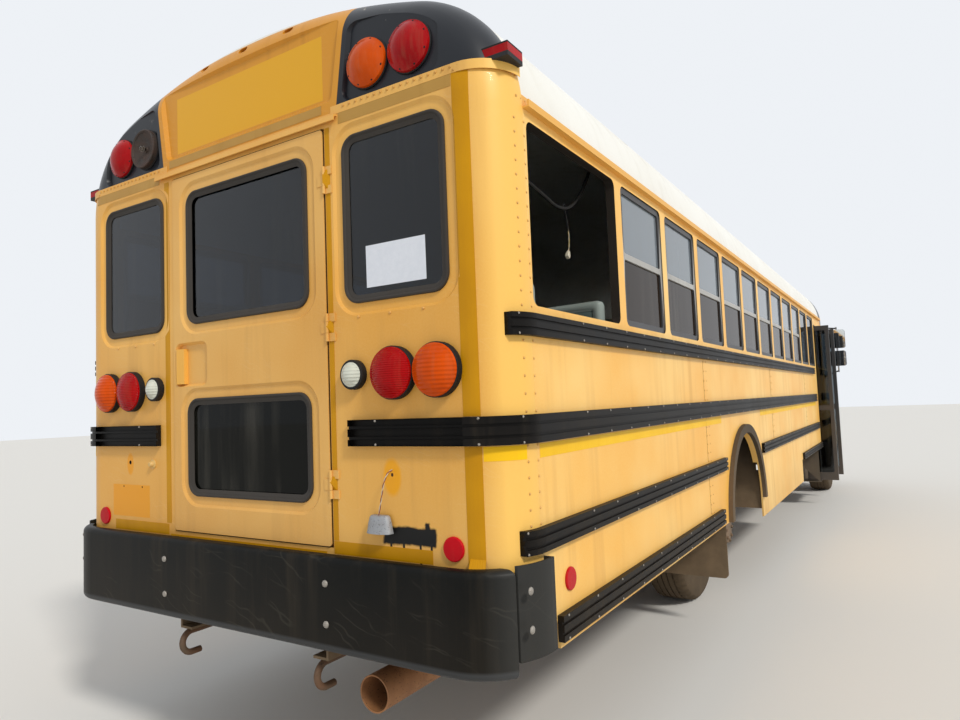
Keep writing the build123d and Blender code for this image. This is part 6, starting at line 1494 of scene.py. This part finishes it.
LAMP_BANDS_Z = (2.633, 2.660)
corner_lamps = []
for low_y in (-1.30, 1.04):
    low, high = (REAR_X, low_y, 2.60), (REAR_X + 0.2, low_y + 0.26, 2.68)
    lamp = node_copy("corner_lamp", "rear_lamps", low, high)
    corner_lamps.append(banded(lamp, 2, LAMP_BANDS_Z, (moulded_plastic, red_dome, gasket_rubber)))
corner_lamps = fitted(joined("corner_clearance_lamps", corner_lamps), "root", "red_lens")
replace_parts(corner_lamps, "rear_lamps")
print("corner lamps:", len(corner_lamps.data.polygons), "faces")

# %% [markdown]
# ## Two tones of side glass
# Each side window has a fixed upper pane and a sliding lower pane behind it. The upper glass is coloured with
# a painted reflection of the sky, the lower with painted shade for the dark inside. Both are in one imported
# node, so the faces take their glass by height.

# %% Upper and lower panes
# Upper panes: painted sky reflection. Lower panes: painted shade for the dark inside
sky_reflection_glass = glass("sky_lit_upper_glass", tone(150, 160, 168), 0.06, 0.45).done()
interior_shade_glass = glass("dusty_lower_glass", tone(48, 34, 20), 0.08, 0.35, specular=0.05).done()
panes = nodes["body_glass"].data
panes.materials.clear()
for finish in (interior_shade_glass, sky_reflection_glass, rear_tinted):
    panes.materials.append(finish)
MEETING_Z = 2.135
for face in panes.polygons:
    middle = face.center
    levels = [panes.vertices[corner].co.z for corner in face.vertices]
    if middle.x < REAR_X + 0.1 or max(levels) - min(levels) > 0.36:
        face.material_index = 2
    else:
        face.material_index = 1 if middle.z > MEETING_Z else 0


# %% [markdown]
# ## Seats
# The benches are seen through every window. Each pad is a crowned closed form: its edges are round, its
# faces swell, its sides pull in between the corners, and a sunk seam runs inside a pale border, which is
# partly a binding and partly painted highlight for the edges lit from the windows.


# %% Seat pads
def pad_lines(half, seam):
    """Where the grid of a pad's face is cut, close together at the edge and at the seam."""
    near_seam = [half - seam + step for step in (0.007, 0.0, -0.007)]
    rows = [half, half - 0.010, half - 0.024] + near_seam + [half * 0.5]
    return [-row for row in rows] + [0.0] + rows[::-1]


PAD_EDGE_R = 0.030
PAD_SWELL = 0.012
PAD_PULL = 0.008
SEAM_DEPTH = 0.005


def pad(name, low, high, thin, seam=0.045, lean=0.0):
    """A pad that is thin along one axis and leans back by an amount at its top."""
    low, high = Vector(low), Vector(high)
    centre, half = (low + high) / 2, (high - low) / 2
    half[thin] -= PAD_SWELL
    wide = [i for i in range(3) if i != thin]
    lines = [pad_lines(reach, seam) for reach in half]
    lines[thin] = [share * half[thin] for share in (-1, -0.4, 0.4, 1)]
    verts, faces, border = [], [], []
    for axis in range(3):
        first, second = [i for i in range(3) if i != axis]
        columns = len(lines[second])
        for sign in (-1, 1):
            start = len(verts)
            for u in lines[first]:
                for v in lines[second]:
                    place = [0.0, 0.0, 0.0]
                    place[axis], place[first], place[second] = sign * half[axis], u, v
                    verts.append(Vector(place))
            for i in range(len(lines[first]) - 1):
                for k in range(columns - 1):
                    corner = start + i * columns + k
                    faces.append((corner, corner + 1, corner + columns + 1, corner + columns))
                    middle = sum((verts[p] for p in faces[-1]), Vector()) / 4
                    border.append(any(abs(middle[w]) > half[w] - seam for w in wide))
    shaped = []
    for place in verts:
        inner = Vector([max(PAD_EDGE_R - half[i], min(half[i] - PAD_EDGE_R, place[i])) for i in range(3)])
        spot = inner + (place - inner).normalized() * PAD_EDGE_R
        near = [1 - (place[w] / half[w]) ** 2 for w in wide]
        if abs(place[thin]) > half[thin] * 0.99:
            facing = math.copysign(1, place[thin])
            spot[thin] += facing * PAD_SWELL * near[0] * near[1]
            from_seam = [abs(place[w]) - (half[w] - seam) for w in wide]
            if abs(max(from_seam)) < 0.001:
                spot[thin] -= facing * SEAM_DEPTH
        for w, across in zip(wide, near[::-1]):
            if abs(place[w]) > half[w] * 0.99:
                spot[w] -= math.copysign(PAD_PULL * across, place[w])
        spot += centre
        spot.x += lean * (spot.z - low.z) / (high.z - low.z)
        shaped.append(spot)
    piece = mesh_object(name, shaped, faces, smooth=True)
    piece.data.materials.append(seat_vinyl)
    piece.data.materials.append(binding_and_edge_highlight)
    for face, edge in zip(piece.data.polygons, border):
        face.material_index = int(edge)
    return outward(piece)


def vinyl(name, color, worn):
    cover = Finish(name, color, 0.5, specular=0.35)
    cover.over(cover.effect(MOTTLE, "Patches", Patch_size=5.0, Grain_size=90.0), worn, 0.6, 0.5)
    cover.over(cover.effect(SCRATCHES, Spacing=7.0, Amount=0.3), worn, 0.7)
    cover.relief(noise_node(cover.tree, object_vector(cover.tree), 240.0, 3.0), 0.25, 0.0008)
    cover.relief(noise_node(cover.tree, object_vector(cover.tree), 9.0, 3.0), 0.3, 0.006)
    return cover.done()


seat_vinyl = vinyl("grey_green_seat_vinyl", tone(70, 84, 80), tone(92, 104, 98))
# The pale border is binding and painted highlight: it stands for the seat edges and sides lit from the
# windows
binding_and_edge_highlight = vinyl("pale_seat_binding", tone(142, 152, 146), tone(116, 124, 118))
SEAT_ROWS = 11
SEAT_FIRST_X = 0.300
SEAT_PITCH = 0.6462
SEAT_REACH_Y = (0.188, 1.173)
backs, bottoms = [], []
for row in range(SEAT_ROWS):
    back_x = REAR_X + SEAT_FIRST_X + SEAT_PITCH * row
    for side in (-1, 1):
        near_y, far_y = sorted(side * reach for reach in SEAT_REACH_Y)
        backs.append(pad("back", (back_x, near_y, 1.480), (back_x + 0.085, far_y, 1.925), 0, lean=-0.060))
        bottoms.append(pad("bottom", (back_x + 0.070, near_y, 1.345), (back_x + 0.490, far_y, 1.455), 2))
driver_seat = [
    pad("driver_bottom", (REAR_X + 8.420, 0.370, 1.490), (REAR_X + 8.900, 0.870, 1.600), 2),
    pad("driver_back", (REAR_X + 8.410, 0.380, 1.612), (REAR_X + 8.512, 0.860, 2.240), 0, lean=-0.122),
]
for name, pads in (("bench_backs", backs), ("bench_cushions", bottoms), ("driver_seat_pads", driver_seat)):
    whole = fitted(joined(name, pads), "root", "green_vinyl")
    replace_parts(whole, "seat_cushions")
    print(name, len(whole.data.polygons), "faces")


# %% [markdown]
# ## Tyres
# Each tyre is turned from its section: bead, bulging sidewall with a scuff rib, rounded shoulder and a
# tread with four grooves. Along the shoulders the tread is cut into lugs by lowering every other step.

# %% Tyres with tread
TYRE_R = 0.5245
LUGS = 50
LUG_CUT = 0.008
# radius and distance from the tyre's middle plane
SIDEWALL = (
    (0.2863, 0.1127), (0.3005, 0.1127), (0.3100, 0.1225), (0.3240, 0.1315), (0.3560, 0.1368),
    (0.3600, 0.1385), (0.3660, 0.1390), (0.3700, 0.1378), (0.4100, 0.1395), (0.4450, 0.1385),
    (0.4795, 0.1355), (0.4960, 0.1300),
)
SHOULDER = ((0.5125, 0.1175), (TYRE_R, 0.0955))
GROOVES = (0.0600, 0.0200)


def tyre_section():
    """Half a section from bead to tread, then its mirror. Each point says whether a lug cut lowers it."""
    half = [(radius, out, False) for radius, out in SIDEWALL]
    half += [(radius, out, True) for radius, out in SHOULDER]
    for groove in GROOVES:
        half += [(TYRE_R, groove + 0.0050, groove == GROOVES[0]), (TYRE_R - 0.012, groove + 0.0035, False),
                 (TYRE_R - 0.012, groove - 0.0035, False), (TYRE_R, groove - 0.0050, False)]
    return half + [(radius, -out, cut) for radius, out, cut in reversed(half)]


def tyre_form(x, y):
    points = tyre_section()
    sections = []
    for step in range(LUGS * 4):
        turn = 2 * math.pi * step / (LUGS * 4)
        cut_here = step % 4 < 2
        section = []
        for radius, out, cut in points:
            reach = radius - (LUG_CUT if cut and cut_here else 0.0)
            section.append(Vector((x + reach * math.cos(turn), y + out, TYRE_R + reach * math.sin(turn))))
        sections.append(section)
    return smoothed(lofted("tyre", sections, closed=True), 28)


REAR_AXLE_X = -1.9975
FRONT_AXLE_X = 4.4545
# body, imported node, axle, places of its tyres across the bus
TYRES = (
    ("rear_wheel_right", "rear_tyre_right", REAR_AXLE_X, (-0.717,)),
    ("rear_wheels_left", "rear_tyres_left", REAR_AXLE_X, (0.717, 1.0525)),
    ("front_wheel_right", "front_tyre_right", FRONT_AXLE_X, (-1.010,)),
    ("front_wheel_left", "front_tyre_left", FRONT_AXLE_X, (1.010,)),
)
for body, node, axle_x, places in TYRES:
    tyres = painted(joined(node + "_tread", [tyre_form(axle_x, y) for y in places]), tyre_finish)
    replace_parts(fitted(tyres, body, "tyre_rubber"), node)
    print(node, len(tyres.data.polygons), "faces")


# %% [markdown]
# ## Front, sides and roof
# The front carries the same warning lamps as the back, mirrored. Some imported nodes only need a second
# finish on some of their faces: mirror glass, headlamp lenses, pale meeting bars, and painted shade on the
# reveals of the window openings.

# %% Front lamps, stop arm and second finishes
FRONT_LAMP_X = 3.8468
front_lenses, front_gaskets = [], []
for y, finish in ((-0.872, red_dome), (-0.680, amber_dome), (0.680, amber_dome), (0.872, red_dome)):
    centre = (FRONT_LAMP_X, y, LAMP_HIGH_Z)
    front_lenses.append(painted(spun("lens", lens_profile(0.090, 0.0515), centre, (1, 0, 0)), finish))
    front_gaskets.append(gasket(centre, 0.090, (1, 0, 0)))
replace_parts(fitted(joined("front_warning_lenses", front_lenses), "root", "red_lens"), "front_lamps")
fitted(joined("front_lamp_gaskets", front_gaskets), "root", "black_rubber")


def second_finish(node, finish, chosen):
    """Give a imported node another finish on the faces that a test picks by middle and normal."""
    mesh = nodes[node].data
    mesh.materials.append(finish)
    index = len(mesh.materials) - 1
    count = 0
    for face in mesh.polygons:
        if chosen(face.center, face.normal):
            face.material_index = index
            count += 1
    print(node, "faces in", finish.name + ":", count)


mirror_glass = Finish("mirror_glass", tone(206, 212, 218), 0.04, metallic=1.0)
mirror_glass.relief(noise_node(mirror_glass.tree, object_vector(mirror_glass.tree), 3.0, 1.0), 0.03, 0.01)
mirror_glass = mirror_glass.done()
bare_aluminium = dull_black("bare_aluminium_bar", tone(178, 176, 170), 0.35, dust=0.1, specular=0.5).done()
# Painted shade: the cut edges round the window openings are darkened where shadow falls in them, and the
# rear-facing jambs take their silver darkened by painted shade
reveal_painted_shade = dull_black("dark_window_reveal", tone(44, 38, 33), 0.6, dust=0.0).done()
silver_reveal_in_painted_shade = dull_black("grey_window_reveal", tone(120, 112, 100), 0.5, dust=0.0).done()
second_finish("mirrors", mirror_glass, lambda middle, normal: normal.x < -0.9 and abs(middle.y) > 1.29)
shadow_glass = glass("dark_low_door_glass", tone(6, 8, 5), 0.04, 0.3, specular=0.04).done()
second_finish("rear_door_glass", shadow_glass, lambda middle, normal: middle.z < 1.7)
for node, reach in (("rear_wall", 1.02), ("rear_door", 0.372)):
    second_finish(node, reveal_painted_shade, lambda middle, normal: abs(normal.x) < 0.5 and abs(middle.y) < reach
                  and (1.15 < middle.z < 1.58 or 1.86 < middle.z < 2.50) and middle.x > REAR_X + 0.010
                  and (reach < 0.5 or abs(middle.y) > 0.54))
second_finish("headlamps", clear_lens, lambda middle, normal: middle.x > 5.218)
second_finish("side_sashes", bare_aluminium, lambda middle, normal: 2.122 < middle.z < 2.153)
WINDOWS_LOW_Z, WINDOWS_HIGH_Z = 1.815, 2.462
WINDOWS_REAR_X, WINDOWS_FRONT_X = -5.21, 3.55
SECOND_WINDOW_X = -4.2


def in_windows(middle, rear_x):
    return WINDOWS_LOW_Z < middle.z < WINDOWS_HIGH_Z and rear_x < middle.x < WINDOWS_FRONT_X


for wall in ("side_wall_right", "side_wall_left"):
    second_finish(wall, reveal_painted_shade,
                  lambda middle, normal: in_windows(middle, WINDOWS_REAR_X) and abs(normal.y) < 0.7)
    second_finish(wall, silver_reveal_in_painted_shade,
                  lambda middle, normal: in_windows(middle, SECOND_WINDOW_X) and normal.x < -0.9)

STOP_MIDDLE = (2.2325, 1.588)
STOP_HALF = 0.2285
blade = dull_black("stop_arm_blade", tone(30, 30, 31), 0.5, dust=0.1)
reach_x, reach_z = [
    blade.math("ABSOLUTE", blade.math("SUBTRACT", blade.axis(axis), middle))
    for axis, middle in zip("XZ", STOP_MIDDLE)
]
slant = blade.math("MULTIPLY", blade.math("ADD", reach_x, reach_z), math.sqrt(0.5))
from_middle = blade.math("MAXIMUM", blade.math("MAXIMUM", reach_x, reach_z), slant)
blade.over(span(blade.tree, from_middle, STOP_HALF + 0.0015, STOP_HALF + 0.0005), tone(206, 202, 196), 0.4)
blade.over(span(blade.tree, from_middle, STOP_HALF - 0.016, STOP_HALF - 0.018), tone(150, 22, 24), 0.4)
blade.over(blade.effect(STREAKS, Fineness=14.0, Amount=0.4), tone(120, 96, 84), 0.7)
painted(nodes["stop_arm"], blade.done())
BLINKER_Y = 1.2712
blinkers = []
for step in (-0.140, 0.140):
    place = (STOP_MIDDLE[0], BLINKER_Y, STOP_MIDDLE[1] + step)
    blinkers.append(painted(spun("lens", lens_profile(0.045, 0.0075), place, (0, 1, 0), 32), red_dome))
fitted(joined("stop_arm_blinkers", blinkers), "stop_arm", "red_lens")


def over_roof(x):
    """A row across the roof, from eave to eave."""
    points, aims = [], []
    for y in steps_between(-1.12, 1.12, 0.07):
        spot, normal = SKIN.ray_cast(Vector((x, y, ROOF_TOP_Z + 0.5)), Vector((0, 0, -1)))[:2]
        points.append(spot)
        aims.append(normal)
    return points, aims


# Seams of the roof from the rear face: the hatch takes the place of one of them
ROOF_SEAMS_X = (0.30, 1.44, 2.58, 3.72, 4.86, 7.14, 8.28)
roof_rows = [over_roof(REAR_X + seam_x + column) for seam_x in ROOF_SEAMS_X for column in (0.0, 0.045)]
fitted(head_rows("roof_rivets", roof_rows, 0.060, 0.0048, 0.0020, roof_paint, 6), "root", "white_paint")
roof_strips = []
for seam_x in ROOF_SEAMS_X:
    front_edge = over_roof(REAR_X + seam_x + 0.060)
    back_edge = over_roof(REAR_X + seam_x - 0.015)
    sections = []
    for a, aim, b in zip(back_edge[0], back_edge[1], front_edge[0]):
        sections.append([a + aim * 0.0002, b + aim * 0.0002, b + aim * 0.0014, a + aim * 0.0014])
    roof_strips.append(smoothed(lofted("strip", sections), 20))
fitted(painted(joined("roof_seam_strips", roof_strips), roof_paint), "root", "white_paint")


# %% [markdown]
# ## Floor, light and camera
# The floor is pale and plain. Lighting is soft: a bright even sky and one broad sun from behind the
# right corner, where the sun stood. Light Path gives the camera, mirrors and glass a white backdrop
# without adding light to the paint.


# %% Stage
def stage_material():
    floor = Finish("pale_floor", tone(226, 224, 219), 0.9)
    floor.relief(noise_node(floor.tree, object_vector(floor.tree), 9.0, 4.0), 0.05)
    return floor.done()


def world_light(strength, glow):
    world = bpy.data.worlds.new("soft_sky")
    world.use_nodes = True
    tree = world.node_tree
    background = tree.nodes["Background"]
    background.inputs["Color"].default_value = (0.93, 0.96, 1.0, 1)
    background.inputs["Strength"].default_value = strength
    white = tree.nodes.new("ShaderNodeBackground")
    white.inputs["Color"].default_value = (0.90, 0.93, 0.97, 1)
    white.inputs["Strength"].default_value = glow
    path = tree.nodes.new("ShaderNodeLightPath")
    seen = None
    for ray in ("Is Camera Ray", "Is Glossy Ray", "Is Transmission Ray"):
        seen = path.outputs[ray] if seen is None else math_node(tree, "MAXIMUM", seen, path.outputs[ray])
    mix = tree.nodes.new("ShaderNodeMixShader")
    tree.links.new(seen, mix.inputs["Fac"])
    tree.links.new(background.outputs[0], mix.inputs[1])
    tree.links.new(white.outputs[0], mix.inputs[2])
    tree.links.new(mix.outputs[0], tree.nodes["World Output"].inputs["Surface"])
    bpy.context.scene.world = world


FLOOR_REACH = 60.0
floor_corners = [(x * FLOOR_REACH, y * FLOOR_REACH, 0) for x, y in ((-1, -1), (1, -1), (1, 1), (-1, 1))]
stage = mesh_object("pale_floor", floor_corners, [(0, 1, 2, 3)])
painted(stage, stage_material())
SKY_STRENGTH = 0.62
BACKDROP_STRENGTH = 0.95
world_light(SKY_STRENGTH, BACKDROP_STRENGTH)

sun = bpy.data.lights.new("sun", "SUN")
sun.energy = 1.9
sun.angle = math.radians(9)
sun.color = (1.0, 0.96, 0.90)
sun_object = bpy.data.objects.new("sun", sun)
SUN_FROM = Vector((-0.45, -1.0, 0.95))
sun_object.rotation_euler = SUN_FROM.to_track_quat("Z", "Y").to_euler()
bpy.context.scene.collection.objects.link(sun_object)

CAMERA_PLACE = (-7.2035, -2.2600, 1.500)
CAMERA_YAW = math.radians(32.14)
CAMERA_PITCH = math.radians(3.67)
CAMERA_ROLL = math.radians(-2.22)
CAMERA_LENS = 25.56
look = Vector((math.cos(CAMERA_YAW) * math.cos(CAMERA_PITCH), math.sin(CAMERA_YAW) * math.cos(CAMERA_PITCH),
               math.sin(CAMERA_PITCH)))
level = Vector((math.sin(CAMERA_YAW), -math.cos(CAMERA_YAW), 0))
above = level.cross(look)
right = level * math.cos(CAMERA_ROLL) + above * math.sin(CAMERA_ROLL)
above = above * math.cos(CAMERA_ROLL) - level * math.sin(CAMERA_ROLL)
lens = bpy.data.cameras.new("photo_camera")
lens.lens = CAMERA_LENS
lens.clip_end = 200
camera = bpy.data.objects.new("photo_camera", lens)
camera.matrix_world = Matrix((
    (right.x, above.x, -look.x, CAMERA_PLACE[0]), (right.y, above.y, -look.y, CAMERA_PLACE[1]),
    (right.z, above.z, -look.z, CAMERA_PLACE[2]), (0, 0, 0, 1),
))
bpy.context.scene.collection.objects.link(camera)
bpy.context.scene.camera = camera
bpy.context.scene.view_settings.view_transform = "Standard"
